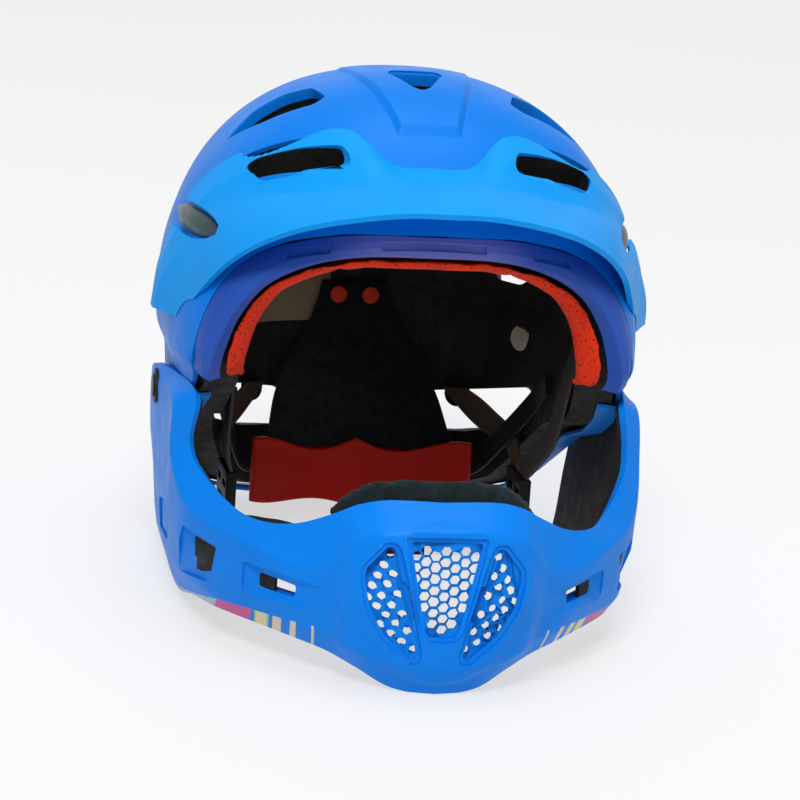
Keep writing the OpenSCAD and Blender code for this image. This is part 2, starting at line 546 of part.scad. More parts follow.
module strap_pad() {
  P = resample(sides([[-61.4, 0, 28.2], [-57, 0, 25.7], [-49, 1, 23.2], [-38, 2, 21.5],
    [-27.5, 3, 20.9]]), 10);
  function grid(s) = [for (i = [0:10]) let (e = sin(acos(clamp(abs(i/5 - 1)*0.94, 0, 1))))
    [for (m = [2:-1:-2]) let (b = 1 - pow(m/2, 4))
      P[i] + [0, 8*m*(0.55 + 0.45*e), 0] + (s > 0 ? [0.4, 0, 1]*(1.2 + 4*b*e) : [0, 0, 0])]];
  color(dark) stand() plate(grid(1), grid(0));
}
module buckle_socket() color(black) stand() difference() {
  translate([-24, -9, 16]) cube([29, 24, 8]);
  translate([-14, -6, 18]) cube([20, 18, 4]);
  translate([-21.5, -5, 15]) cube([3, 16, 10]);
  for (y = [-10, 11]) translate([-11, y, 18]) cube([10, 5, 4]);
}
module buckle_plug() color(black) stand() union() {
  difference() {
    translate([5.4, -9, 16.4]) cube([18.6, 24, 7.2]);
    translate([18, -5, 15]) cube([3, 16, 10]);
  }
  for (y = [-5.6, 1.7, 9]) translate([-11, y, 18.4]) cube([17, 2.6, 3.2]);
  for (y = [-5.8, 10.2]) translate([-9, y, 18.4]) cube([6, 1.6, 3.2]);
}

// ---- the pieces

top_shell();
foam_liner();
opening_trim();
visor();
visor_pins();
side_trim_left();
side_trim_right();
neck_trim();
chin_guard();
chin_foam();
chin_pad();
grille_centre();
grille_left();
grille_right();
latch_seat_left();
latch_seat_right();
latch_button_left();
latch_button_right();
brow_pad();
crown_pad();
cradle();
hanger();
hanger_pins();
dial_housing();
dial();
band_left();
band_right();
headband_left();
headband_right();
strap_anchors();
front_strap_left();
front_strap_right();
rear_strap_left();
rear_strap_right();
divider_left();
divider_right();
chin_strap_left();
chin_strap_right();
strap_pad();
buckle_socket();
buckle_plug();
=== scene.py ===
"""Child's full-face bicycle helmet on a pale floor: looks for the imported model."""
import math
from contextlib import contextmanager
import bpy
import bmesh
from mathutils import Matrix, Vector
from mathutils.bvhtree import BVHTree


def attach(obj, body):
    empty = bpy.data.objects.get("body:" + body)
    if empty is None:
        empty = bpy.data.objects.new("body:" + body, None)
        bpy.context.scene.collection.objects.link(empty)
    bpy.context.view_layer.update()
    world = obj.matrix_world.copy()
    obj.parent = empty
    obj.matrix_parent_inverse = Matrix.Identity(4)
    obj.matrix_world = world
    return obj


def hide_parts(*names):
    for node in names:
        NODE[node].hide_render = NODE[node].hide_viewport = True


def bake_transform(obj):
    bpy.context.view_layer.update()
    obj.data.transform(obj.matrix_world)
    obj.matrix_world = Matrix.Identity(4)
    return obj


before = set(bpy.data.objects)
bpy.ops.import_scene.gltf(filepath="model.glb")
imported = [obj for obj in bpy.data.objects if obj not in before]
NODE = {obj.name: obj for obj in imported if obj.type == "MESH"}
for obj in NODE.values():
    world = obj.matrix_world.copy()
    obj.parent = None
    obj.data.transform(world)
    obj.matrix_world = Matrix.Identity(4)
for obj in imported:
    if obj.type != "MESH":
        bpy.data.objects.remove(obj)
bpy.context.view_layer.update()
scene = bpy.context.scene

# ---- camera, at the photograph's angle
RIGHT = Vector((0.98398583, -0.15973122, 0.07910639))
DOWN = Vector((0.02943115, -0.29211753, -0.95592947))
AHEAD = Vector((0.17580014, 0.94294925, -0.28273844))
CAMERA_PLACE = (-0.291904, -1.580744, 0.556378)
camera = bpy.data.objects.new("camera", bpy.data.cameras.new("camera"))
scene.collection.objects.link(camera)
camera.matrix_world = (Matrix.Translation(CAMERA_PLACE)
                       @ Matrix((RIGHT, -DOWN, -AHEAD)).transposed().to_4x4())
camera.data.lens = 171
camera.data.sensor_width = 36
camera.data.clip_start = 0.05
camera.data.clip_end = 30
scene.camera = camera

# The helmet is shaped upright to the head, in millimetres, and then tipped back
# until the chin and the back rim stand on the floor.
TIP = 4.6
STAND = (Matrix.Translation((0, 0.0303, -0.0144))
         @ Matrix.Rotation(math.radians(-TIP), 4, "X") @ Matrix.Scale(0.001, 4))
UPRIGHT = STAND.inverted()


# ---- numbers and curves

def clamp(v, low, high):
    return min(max(v, low), high)


def ease(v):
    """Smooth step: 0 below 0, 1 above 1."""
    c = clamp(v, 0.0, 1.0)
    return c * c * (3 - 2 * c)


def signed_power(v, p):
    """The power of v's size, with v's sign."""
    return -((-v) ** p) if v < 0 else v ** p


def sine(degrees):
    return math.sin(math.radians(degrees))


def cosine(degrees):
    return math.cos(math.radians(degrees))


def lookup(x, table):
    """Value at x of the straight lines through the table's pairs."""
    if x <= table[0][0]:
        return table[0][1]
    for (a, fa), (b, fb) in zip(table, table[1:]):
        if x <= b:
            return fa + (fb - fa) * (x - a) / (b - a)
    return table[-1][1]


def curve(points, u):
    """Point at u, from 0 to 1, of the smooth curve through the points."""
    n = len(points) - 1
    u = clamp(u, 0.0, 1.0) * n
    i = min(int(u), n - 1)
    f = u - i
    a, b = Vector(points[max(i - 1, 0)]), Vector(points[i])
    c, d = Vector(points[i + 1]), Vector(points[min(i + 2, n)])
    return 0.5 * (2 * b + (c - a) * f + (2 * a - 5 * b + 4 * c - d) * f * f
                  + (3 * b - a - 3 * c + d) * f ** 3)


# ---- head form: th is the angle from the front, z the height, t the depth under the skin

SHELL_HALF, SHELL_FRONT, SHELL_REAR = 103.0, 98.0, 130.0
AXIS_Y, CROWN_Z, WIDE_Z = -20.0, 237.5, 132.0
ROUND_FRONT = [(60, 3.2), (115, 3.6), (172, 2.25), (245, 2.25)]
ROUND_REAR = [(20, 2.6), (130, 2.65), (172, 2.15), (245, 2.15)]
SKIN_RIM = [(0, 180), (20, 179), (35, 174), (45, 166), (52, 155), (58, 140), (62, 126),
            (65, 113), (72, 101), (80, 92), (90, 82), (100, 70), (112, 53), (125, 38),
            (140, 30.5), (160, 26), (180, 25.3)]
FOAM_RIM = [(0, 175), (20, 173.5), (35, 167), (45, 155), (52, 139), (57, 124), (61, 112.5),
            (66, 104), (72, 100), (80, 91), (90, 81), (100, 69), (112, 52), (125, 37),
            (140, 29.5), (160, 25), (180, 24.3)]
TUCK, REAR_TUCK, TUCK_HEIGHT = 0.087, 0.07, 114
CHEEK_SINK, CHEEK_TOP, CHEEK_REAR, CHEEK_EDGE = 3.5, 120, 135, 12
LOW_ROW = 1.5


def roundness(th):
    """Exponent of the dome's upright curve: lower is more pointed."""
    return 2.3 - 0.07 * max(0, cosine(th)) ** 2 - 0.2 * max(0, -cosine(th)) ** 2


def height(q, th):
    """Height of row q: negative below the widest line, 90 at the crown."""
    if q < 0:
        return WIDE_Z + LOW_ROW * q
    return WIDE_Z + (CROWN_Z - WIDE_Z) * sine(min(q, 90)) ** (2 / roundness(th))


def row_at(z, th):
    if z < WIDE_Z:
        return (z - WIDE_Z) / LOW_ROW
    share = min(1, (z - WIDE_Z) / (CROWN_Z - WIDE_Z))
    return math.degrees(math.asin(share ** (roundness(th) / 2)))


def off_front(th):
    """Angle from the front on either side, 0 to 180."""
    th = th % 360
    return 360 - th if th > 180 else th


def head(q, th, t):
    """Point of the form in row q. Under the guard's arms the cheeks are sunk."""
    z = height(q, th)
    n = lookup(z, ROUND_FRONT if cosine(th) > 0 else ROUND_REAR)
    if q < 0:
        back = max(0, -cosine(th)) ** 2
        r = 1 - (TUCK + REAR_TUCK * back) * ((WIDE_Z - z) / TUCK_HEIGHT) ** 1.2
        t += (CHEEK_SINK * ease((CHEEK_TOP - z) / CHEEK_EDGE)
              * ease((CHEEK_REAR - off_front(th)) / CHEEK_EDGE))
        k, s = 1, 0
    else:
        r = max(0, cosine(q)) ** (2 / roundness(th))
        k, s = cosine(q), sine(q)
    a = SHELL_HALF * r - t * k
    b = (SHELL_FRONT if cosine(th) > 0 else SHELL_REAR) * r - t * k
    return Vector((a * signed_power(sine(th), 2 / n),
                   AXIS_Y - b * signed_power(cosine(th), 2 / n), z - t * s))


def head_z(z, th, t):
    return head(row_at(z, th), th, t)


def rim(table, th):
    """Height of a rim, with the corners of its table eased."""
    return sum(lookup(off_front(th + d), table) for d in (-3, -1, 1, 3)) / 4


def crown(x, y):
    """Height of the head form over a point in plan."""
    d = y - AXIS_Y
    n = 2.25 if d < 0 else 2.15
    b = SHELL_FRONT if d < 0 else SHELL_REAR
    r = ((abs(x) / SHELL_HALF) ** n + (abs(d) / b) ** n) ** (1 / n)
    c = 0 if r < 1e-6 else clamp(abs(d) / (b * r), 0, 1) ** (n / 2)
    v = 2.3 - (0.07 if d < 0 else 0.2) * c * c
    return WIDE_Z + (CROWN_Z - WIDE_Z) * max(0, 1 - r ** v) ** (1 / v)


# ---- making meshes

def sheet(across, up, place, centre=(0, -10, 110), uv=None):
    """A grid of faces whose points place(u, v) puts on a form, looking away from centre."""
    bm = bmesh.new()
    bmesh.ops.create_grid(bm, x_segments=across, y_segments=up, size=0.5)
    spots = {v: (v.co.x + 0.5, v.co.y + 0.5) for v in bm.verts}
    if uv:
        layer = bm.loops.layers.uv.new("weave")
        for f in bm.faces:
            for loop in f.loops:
                u, v = spots[loop.vert]
                loop[layer].uv = (u * uv[0], v * uv[1])
    for v, (u, w) in spots.items():
        v.co = place(u, w)
    bmesh.ops.remove_doubles(bm, verts=bm.verts, dist=0.002)
    bmesh.ops.dissolve_degenerate(bm, edges=bm.edges, dist=0.001)
    bm.normal_update()
    out = sum(f.normal.dot(f.calc_center_median() - Vector(centre)) * f.calc_area()
              for f in bm.faces)
    if out < 0:
        bmesh.ops.reverse_faces(bm, faces=bm.faces)
    return bm


def strip(rows, bulge=((0, 0, 0),) * 4):
    """Place function of a moulding: u runs from the left end to the right, v across the rows.
    Between two folds the surface stands out by bulge."""
    folds = len(rows[0])

    def place(u, v):
        side = -1 if u < 0.5 else 1
        line = [curve([r[j] for r in rows], abs(u - 0.5) * 2) for j in range(folds)]
        at = clamp(v, 0, 1) * (folds - 1)
        i = min(int(at), folds - 2)
        f = at - i
        a, b = (Vector((side * p.x, p.y, p.z)) for p in line[i:i + 2])
        return a.lerp(b, f) + Vector(bulge[i]) * 4 * f * (1 - f)
    return place


def eased(bm, times):
    """Softens the folds, and leaves an open outline where it is."""
    inner = [v for v in bm.verts if not v.is_boundary]
    for _ in range(times):
        bmesh.ops.smooth_vert(bm, verts=inner, factor=0.5, use_axis_x=True, use_axis_y=True,
                              use_axis_z=True)
    return bm


def piece(name, bm):
    mesh = bpy.data.meshes.new(name)
    bm.to_mesh(mesh)
    bm.free()
    made = bpy.data.objects.new(name, mesh)
    scene.collection.objects.link(made)
    return made


def bake(made):
    """Turns the piece's modifiers into its mesh."""
    bpy.context.view_layer.update()
    old = made.data
    graph = bpy.context.evaluated_depsgraph_get()
    new = bpy.data.meshes.new_from_object(made.evaluated_get(graph))
    made.modifiers.clear()
    made.data = new
    new.name = made.name
    bpy.data.meshes.remove(old)
    return made


def walled(name, bm, wall, offset=-1.0):
    """A piece whose wall lies under the sheet, or about it as offset says."""
    made = piece(name, bm)
    m = made.modifiers.new("wall", "SOLIDIFY")
    m.thickness = wall
    m.offset = offset
    m.use_even_offset = True
    m.use_quality_normals = True
    return bake(made)


def join_solid(made, others, how):
    for other in others:
        m = made.modifiers.new("cut", "BOOLEAN")
        m.solver = "MANIFOLD"
        m.operation = how
        m.object = other
    bake(made)
    for other in others:
        bpy.data.objects.remove(other)
    return made


@contextmanager
def edit(made):
    """The piece's mesh, open for a change."""
    bm = bmesh.new()
    bm.from_mesh(made.data)
    yield bm
    bm.to_mesh(made.data)
    bm.free()


def rounded(made, width, angle, segments=2):
    """Rounds the edges that turn by more than the angle."""
    m = made.modifiers.new("round", "BEVEL")
    m.width = width
    m.segments = segments
    m.limit_method = "ANGLE"
    m.angle_limit = math.radians(angle)
    m.use_clamp_overlap = True
    return bake(made)


def finish(made, body, look, node=None, angle=40, round_off=0.0, stand=True):
    """Rounds the piece's edges, sets it on its stand, marks its sharp edges by the angle,
    and ties it to its body."""
    slot, material = look
    if round_off:
        rounded(made, round_off, angle)
    with edit(made) as bm:
        if stand:
            bmesh.ops.transform(bm, matrix=STAND, verts=bm.verts)
        for f in bm.faces:
            f.smooth = True
        for e in bm.edges:
            e.smooth = e.calc_face_angle(0) < math.radians(angle)
    made.data.materials.clear()
    made.data.materials.append(material)
    for poly in made.data.polygons:
        poly.material_index = 0
    if node:
        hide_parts(node)
    if body:
        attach(made, body)
    return made


def outline_face(bm, outline, corner):
    """A face through the outline, its corners rounded."""
    before = set(bm.faces)
    edge = [bm.verts.new(p) for p in outline]
    bm.faces.new(edge)
    bmesh.ops.bevel(bm, geom=edge, offset=corner, offset_type="OFFSET", segments=4,
                    profile=0.5, affect="VERTICES", material=-1, clamp_overlap=True)
    return max((f for f in bm.faces if f not in before), key=lambda f: f.calc_area())


def slide(bm, face, by):
    bmesh.ops.translate(bm, verts=face.verts, vec=by)


def extruded(bm, face):
    """Raises walls round the face, and gives the face at their far end."""
    made = bmesh.ops.extrude_face_region(bm, geom=[face])["geom"]
    return [g for g in made if isinstance(g, bmesh.types.BMFace)][0]


def grown(outline, by):
    """The outline with each corner moved out along its bisector."""
    points = [Vector(p) for p in outline]
    middle = sum(points, Vector()) / len(points)
    flat = sum(((points[i] - middle).cross(points[i - 1] - middle)
                for i in range(len(points))), Vector()).normalized()
    out = []
    for i, p in enumerate(points):
        a = (p - points[i - 1]).normalized()
        b = (points[(i + 1) % len(points)] - p).normalized()
        na, nb = a.cross(flat), b.cross(flat)
        if na.dot(p - middle) < 0:
            na, nb = -na, -nb
        side = (na + nb).normalized()
        out.append(p + side * by / max(0.5, side.dot(na)))
    return out


def cutter(outline, way, corner=2.5, lip=0.0, above=10.0, depth=30.0, narrow=0.0, grow=0.0):
    """A plug through the outline along way, eased at the surface by lip, narrowing as it goes."""
    way = Vector(way).normalized()
    bm = bmesh.new()
    cap = outline_face(bm, grown(outline, grow + lip) if grow + lip else outline, corner)
    slide(bm, cap, -way * above)
    top = extruded(bm, cap)
    slide(bm, top, way * (above - lip))
    steps = [(0.55 * lip, 0.3 * lip), (0.3 * lip, 0.6 * lip), (0.15 * lip, 1.1 * lip)] if lip else []
    for inward, along in [*steps, (narrow, depth)]:
        if inward:
            bmesh.ops.inset_region(bm, faces=[top], thickness=inward, depth=0,
                                   use_even_offset=True, use_boundary=True)
        else:
            old = top
            top = extruded(bm, old)
            bmesh.ops.delete(bm, geom=[old], context="FACES_ONLY")
        slide(bm, top, way * along)
    bmesh.ops.recalc_face_normals(bm, faces=bm.faces)
    return piece("cutter", bm)


def funnel(outer, inner, way, corner=2.0, above=8.0, through=12.0):
    """A plug that narrows from the outer outline to the inner one, then runs on."""
    way = Vector(way).normalized()
    bm = bmesh.new()
    faces = []
    for outline, shift, rounding in ((outer, -above, corner), (outer, 0, corner),
                                     (inner, 0, 0.7 * corner), (inner, through, 0.7 * corner)):
        faces.append(outline_face(bm, outline, rounding))
        slide(bm, faces[-1], way * shift)
    rings = [list(face.edges) for face in faces]
    bmesh.ops.delete(bm, geom=faces[1:3], context="FACES_ONLY")
    for a, b in zip(rings, rings[1:]):
        bmesh.ops.bridge_loops(bm, edges=a + b)
    bmesh.ops.recalc_face_normals(bm, faces=bm.faces)
    return piece("funnel", bm)


def flipped(outline):
    return [(-p[0], p[1], p[2]) for p in outline]


def both_sides(make, *outlines, way, **more):
    """The same cut on the right and the left."""
    return [make(*outlines, way, **more),
            make(*map(flipped, outlines), (-way[0], way[1], way[2]), **more)]


def rods(name, spots, radius, length, axis="X", segments=32):
    """Round plugs centred on the spots, along the X or the Y axis."""
    bm = bmesh.new()
    turn = Matrix.Rotation(math.pi / 2, 4, "Y" if axis == "X" else "X")
    for spot in spots:
        bmesh.ops.create_cone(bm, cap_ends=True, segments=segments, radius1=radius,
                              radius2=radius, depth=length,
                              matrix=Matrix.Translation(spot) @ turn)
    return piece(name, bm)


def sleeves(wall, plugs):
    """What the plugs hold of the wall, to line an opening with."""
    last = plugs.pop()
    join_solid(last, plugs, "UNION")
    return join_solid(wall, [last], "INTERSECT")


# ---- shader maths

class Wire:
    """A socket of one material. Sums of it add the nodes that work them out."""

    def __init__(self, mat, socket):
        self.mat, self.socket = mat, socket

    def _sum(self, operation, *values):
        return self.mat.node("ShaderNodeMath", {"operation": operation}, dict(enumerate(values)))[0]

    def __add__(self, other):
        return self._sum("ADD", self, other)

    def __sub__(self, other):
        return self._sum("SUBTRACT", self, other)

    def __mul__(self, other):
        return self._sum("MULTIPLY", self, other)

    def __rsub__(self, other):
        return self._sum("SUBTRACT", other, self)

    __radd__, __rmul__ = __add__, __mul__

    def size(self):
        return self._sum("ABSOLUTE", self)

    def wave(self):
        return self._sum("SINE", self)

    def ramp(self, start, stop, low=0.0, high=1.0, way="SMOOTHSTEP"):
        """Step from low to high, smooth by default, as this goes from start to stop."""
        return self.mat.node("ShaderNodeMapRange", {"interpolation_type": way},
                             {0: self, 1: start, 2: stop, 3: low, 4: high})[0]

    def line(self, start, stop, low, high):
        return self.ramp(start, stop, low, high, "LINEAR")


class Finish:
    """One material, from its own base shader up."""

    def __init__(self, name, **settings):
        self.data = bpy.data.materials.new(name)
        self.data.use_nodes = True
        self.tree = self.data.node_tree
        self.tree.nodes.clear()
        out = self.tree.nodes.new("ShaderNodeOutputMaterial")
        self.base = self.tree.nodes.new("ShaderNodeBsdfPrincipled")
        self.tree.links.new(self.base.outputs[0], out.inputs[0])
        for key, value in settings.items():
            self.set(key.replace("_", " ").title(), value)
        points = self.tree.nodes.new("ShaderNodeTexCoord")
        self.place = Wire(self, points.outputs["Object"])
        self.uv = Wire(self, points.outputs["UV"])

    def set(self, name, value):
        name = {"Specular Level": "Specular IOR Level"}.get(name, name)
        self._feed(self.base.inputs[name], value)

    def _feed(self, socket, value):
        if isinstance(value, Wire):
            self.tree.links.new(value.socket, socket)
        elif socket.type == "RGBA":
            socket.default_value = (*value, 1.0)
        else:
            socket.default_value = value

    def node(self, kind, settings, values):
        """Adds a node: its settings first, then the values or wires of its sockets."""
        made = self.tree.nodes.new(kind)
        for key, value in settings.items():
            setattr(made, key, value)
        for key, value in values.items():
            self._feed(made.inputs[key], value)
        return [Wire(self, s) for s in made.outputs]

    def mix(self, mask, a, b):
        """Colour a where the mask is 0 and b where it is 1."""
        return self.node("ShaderNodeMix", {"data_type": "RGBA"}, {0: mask, 6: a, 7: b})[2]

    def noise(self, scale, detail=2.0, rough=0.5):
        return self.node("ShaderNodeTexNoise", {}, {"Vector": self.place, "Scale": scale,
                                                    "Detail": detail, "Roughness": rough})[0]

    def cells(self, scale, feature="F1"):
        return self.node("ShaderNodeTexVoronoi", {"feature": feature},
                         {"Vector": self.place, "Scale": scale})[0]

    def parts(self, wire=None):
        """X, Y and Z of a place, in metres."""
        return self.node("ShaderNodeSeparateXYZ", {}, {0: wire or self.place})

    def uneven(self, scale, low, high):
        """Lets the roughness wander between low and high."""
        self.set("Roughness", self.noise(scale).ramp(0.3, 0.7, low, high))

    def bump(self, height, strength, distance):
        self.set("Normal", self.node("ShaderNodeBump", {}, {
            "Strength": strength, "Distance": distance, "Height": height})[0])

    def colour_wire(self):
        """What feeds the base colour so far."""
        return Wire(self, self.base.inputs["Base Color"].links[0].from_socket)


def linear(r, g, b):
    """A colour given in the 0 to 255 of a picture."""
    def one(c):
        c /= 255
        return c / 12.92 if c <= 0.04045 else ((c + 0.055) / 1.055) ** 2.4
    return (one(r), one(g), one(b))


def toned(colour, times, plus=0.0):
    """The colour made darker or paler."""
    return tuple(min(1, times * c + plus) for c in colour)


def moulded(name, colour, worn, rough=0.5, grain=0.25, gloss=0.11):
    """Matt moulded plastic: fine spark grain, faint cloudiness, paler rubbed flecks."""
    mat = Finish(name, roughness=rough, specular_level=gloss)
    cloud = mat.noise(14.0, 3.0).ramp(0.35, 0.7)
    fleck = mat.noise(900.0, 2.0).ramp(0.72, 0.8)
    shade = mat.mix(cloud, colour, toned(colour, 0.93))
    mat.set("Base Color", mat.mix(fleck * 0.22, shade, worn))
    mat.uneven(60.0, rough - 0.04, rough + 0.05)
    mat.bump(mat.noise(1500.0, 2.0), grain, 0.00006)
    return mat


def head_place(mat):
    """X, Y and Z upright to the head, in metres, from the place on the tipped helmet."""
    x, y, z = mat.parts()
    y, z = y - STAND.translation.y, z - STAND.translation.z
    return x, y * cosine(TIP) - z * sine(TIP), y * sine(TIP) + z * cosine(TIP)


def guard_blue():
    """Guard plastic with a pale band, a pink band and upright bars along its lowest facet."""
    mat = moulded("guard_blue", (0.001, 0.21, 0.79), (0.01, 0.30, 0.86), 0.44, 0.3)
    base = mat.colour_wire()
    x, y, z = head_place(mat)
    wide = x.size()
    bar_end, pink_start, pale_start = 0.0703, 0.0718, 0.0844
    # the band ends at the crease above it, which drops towards the rear
    crease = y.line(-0.137, -0.119, 0.0243, 0.0236) - y.line(-0.119, -0.069, 0, 0.0085)
    band = 1 - (z - crease).ramp(-0.0002, 0.0002)
    lean = wide + (crease - z) * 0.16

    def past(wire, start):
        return wire.ramp(start - 0.0002, start + 0.0002)

    def between(wire, start, stop):
        return wire.ramp(start, start + 0.0003) * (1 - wire.ramp(stop, stop + 0.0003))

    pale = band * past(wide, pale_start) * (1 - y.line(-0.075, -0.05, 0, 1))
    pink = band * past(wide, pink_start) * (1 - past(wide, pale_start))
    bars = 0
    for start, stop in ((0.0665, bar_end), (0.0612, 0.0643), (0.0559, 0.058), (0.0492, 0.0501)):
        bars = between(lean, start, stop) + bars
    colour = mat.mix(pale * 0.8, base, linear(176, 196, 190))
    colour = mat.mix(pink * 0.85, colour, linear(206, 86, 128))
    colour = mat.mix(band * between(lean, 0.0657, 0.0708) * 0.85, colour, linear(170, 204, 110))
    colour = mat.mix(band * bars * 0.9, colour, linear(222, 206, 164))
    mat.set("Base Color", colour)
    return mat.data


def trim_violet():
    """Blue-violet moulding, with painted reflected light: painted paler over the brow."""
    mat = moulded("trim_violet", (0.012, 0.075, 0.42), (0.12, 0.17, 0.6), 0.5, 0.35, 0.3)
    base = mat.colour_wire()
    x, _, z = head_place(mat)
    # painted light: the top middle is painted paler, standing in for the floor's light reflected
    # there
    brow = z.ramp(0.158, 0.175) * (1 - x.size().ramp(0.02, 0.05))
    mat.set("Base Color", mat.mix(brow * 0.75, base, (0.16, 0.17, 0.5)))
    return mat.data


def bead_foam(name, colour, beads=210.0):
    """Moulded bead foam: rounded beads pressed flat against each other."""
    rough = 0.75
    mat = Finish(name, roughness=rough, specular_level=0.35)
    edge = mat.cells(beads, "DISTANCE_TO_EDGE").ramp(0.0, 0.12)
    tone = mat.noise(40.0, 3.0).ramp(0.3, 0.75)
    body = mat.mix(tone, colour, toned(colour, 1.6, 0.002))
    mat.set("Base Color", mat.mix((1 - edge) * 0.5, body, toned(colour, 0.4)))
    mat.uneven(150.0, rough - 0.08, rough + 0.08)
    mat.bump(edge + mat.noise(700.0) * 0.25, 0.5, 0.0004)
    return mat.data


def lens_grey():
    """Smooth grey-green plastic of the side covers."""
    mat = Finish("lens_grey", roughness=0.34, specular_level=0.3)
    cloud = mat.noise(40.0, 2.0).ramp(0.3, 0.7)
    mat.set("Base Color", mat.mix(cloud, linear(48, 66, 70), linear(66, 84, 86)))
    mat.uneven(90.0, 0.28, 0.4)
    mat.bump(mat.noise(420.0), 0.08, 0.0001)
    return mat.data


def black_plastic(name, rough):
    return moulded(name, (0.012, 0.013, 0.015), (0.05, 0.052, 0.058), rough, 0.4).data


def fleece(name, colour, pile, fuzz, sheen):
    """Brushed pile cloth: short fibres, soft clumps."""
    mat = Finish(name, roughness=0.95, specular_level=0.15)
    fibre = mat.noise(2600.0, 3.0, 0.7)
    clump = mat.noise(240.0, 3.0)
    shade = mat.mix(clump.ramp(0.3, 0.7), colour, pile)
    mat.set("Base Color", mat.mix(fibre.ramp(0.5, 0.72) * fuzz, shade, toned(pile, 2.4, 0.02)))
    mat.set("Sheen Weight", sheen)
    mat.set("Sheen Roughness", 0.5)
    mat.bump(fibre * 0.6 + clump, 0.6, 0.0008)
    return mat.data


def mesh_knit(name, colour, hole):
    """Open warp knit over foam: rows of small holes that show the darker foam."""
    mat = Finish(name, roughness=0.88, specular_level=0.2)
    pits = mat.cells(520.0).ramp(0.12, 0.34)
    tone = mat.noise(60.0, 2.0).ramp(0.3, 0.7)
    yarn = mat.mix(tone, colour, toned(colour, 0.8))
    mat.set("Base Color", mat.mix(pits, hole, yarn))
    mat.set("Sheen Weight", 0.05)
    mat.bump(pits + mat.noise(1800.0) * 0.3, 0.6, 0.0005)
    return mat.data


def webbing(name, colour, light):
    """Flat woven strap: ribs along it, crossed by the weft. The UV is in metres."""
    mat = Finish(name, roughness=0.8, specular_level=0.25)
    u, v, _ = mat.parts(mat.uv)
    ribs = (u * 5200.0).wave() * 0.5 + 0.5
    weft = (v * 4200.0 + u * 2600.0).wave() * 0.5 + 0.5
    weave = ribs * 0.6 + weft * 0.4
    edge = (u - 0.0075).size().ramp(0.0058, 0.0064)
    mat.set("Base Color", mat.mix(weave * 0.7 + edge * 0.3, colour, light))
    mat.set("Roughness", 0.72 + weave * 0.15)
    mat.bump(weave, 0.6, 0.0003)
    return mat.data


def clear_red():
    mat = moulded("cradle_red", linear(178, 28, 16), linear(225, 70, 40), 0.38, 0.25)
    mat.set("Subsurface Weight", 0.15)
    mat.set("Subsurface Radius", (0.004, 0.001, 0.0005))
    return mat.data


def bare_label(name, colour):
    """A blank paper label, laid on the foam."""
    mat = Finish(name, roughness=0.55, specular_level=0.3)
    fibre = mat.noise(500.0, 4.0).ramp(0.3, 0.7)
    stain = mat.noise(45.0, 3.0).ramp(0.35, 0.75)
    paper = mat.mix(fibre, colour, toned(colour, 0.86))
    mat.set("Base Color", mat.mix(stain * 0.4, paper, toned(colour, 0.7)))
    mat.uneven(200.0, 0.45, 0.65)
    mat.bump(fibre, 0.15, 0.0002)
    return mat.data


# the looks: each is the name of its slot and its material
SHELL = "shell_blue", moulded("shell_blue", (0.001, 0.19, 0.72), (0.01, 0.28, 0.82), 0.42,
                              0.3).data
VISOR = "visor_blue", moulded("visor_blue", (0.001, 0.30, 0.82), (0.015, 0.40, 0.90), 0.46,
                              0.3).data
GUARD = "shell_blue", guard_blue()
TRIM = "trim_violet", trim_violet()
LINER = "foam_black", bead_foam("liner_foam", (0.009, 0.0075, 0.006))
CHIN_LINING = "foam_black", bead_foam("chin_lining", (0.006, 0.006, 0.006), 320.0)
LENS = "lens_grey", lens_grey()
PART = "part_black", black_plastic("part_black", 0.5)
POST = "foam_black", PART[1]
LATCH = "latch_black", black_plastic("latch_black", 0.36)
PILE = "pad_black", fleece("pad_pile", (0.006, 0.013, 0.015), (0.012, 0.024, 0.027), 0.3, 0.12)
ORANGE = "pad_orange", mesh_knit("pad_orange", linear(236, 52, 12), linear(120, 20, 6))
RED = "cradle_red", clear_red()
PIN = "pin_orange", moulded("pin_orange", linear(226, 62, 20), linear(250, 130, 70), 0.4,
                            0.25).data
WEB = "webbing", webbing("webbing", (0.02, 0.019, 0.018), (0.07, 0.062, 0.055))
WEB_TAN = "webbing", webbing("webbing_brown", (0.035, 0.022, 0.014), (0.13, 0.085, 0.055))
PANEL = "part_black", fleece("panel_cloth", (0.005, 0.007, 0.008), (0.011, 0.015, 0.016), 0.2,
                             0.08)
LABEL = "foam_black", bare_label("label_tan", linear(150, 128, 100))
DOT = "foam_black", bare_label("label_pale", linear(206, 196, 178))


# ---- head shell, with the blue walls of its vents

def crown_panel():
    """The raised panel that runs from its flat front edge up over the crown."""
    front, rear, skirt, sunk = -80, 38, 2.6, 0.5
    half_widths = [(front, 12), (-38, 23), (-4, 28), (rear, 20)]
    rises = [(-54, 2.4), (-38, 2.04), (-20, 1.2), (rear, 0.36)]

    def spread(u):
        """From -1 to 1, with more lines across the sloping edges than over the panel."""
        s = 2 * u - 1
        return math.copysign(1 - (1 - abs(s)) ** 1.5, s)

    def place(u, v):
        y = front - skirt + (rear + skirt - front) * v
        wide = lookup(y, half_widths) + skirt
        x = spread(u) * wide
        edge = min(wide - abs(x), y - front + skirt) / skirt
        return (x, y, crown(x, y) - sunk + (lookup(y, rises) + sunk) * min(1, edge))
    return walled("crown_panel", sheet(72, 90, place), 2.0)


def dome(table, t, across=240, up=96):
    def place(u, v):
        th = 360 * u
        low = row_at(rim(table, th), th)
        return head(low + (90 - low) * v, th, t)
    return sheet(across, up, place)


def solid_dome(t, deep, across=180, up=72):
    """The head form as a wall that starts t below the skin's face."""
    low = [(0, 150), (50, 150), (60, 110), (90, 60), (180, 20)]
    return walled("form", dome(low, t, across, up), deep)


def over_shell(gap=0.35, deep=24):
    """Plug that keeps a piece clear of the shell."""
    return solid_dome(-gap, deep, 140, 56)


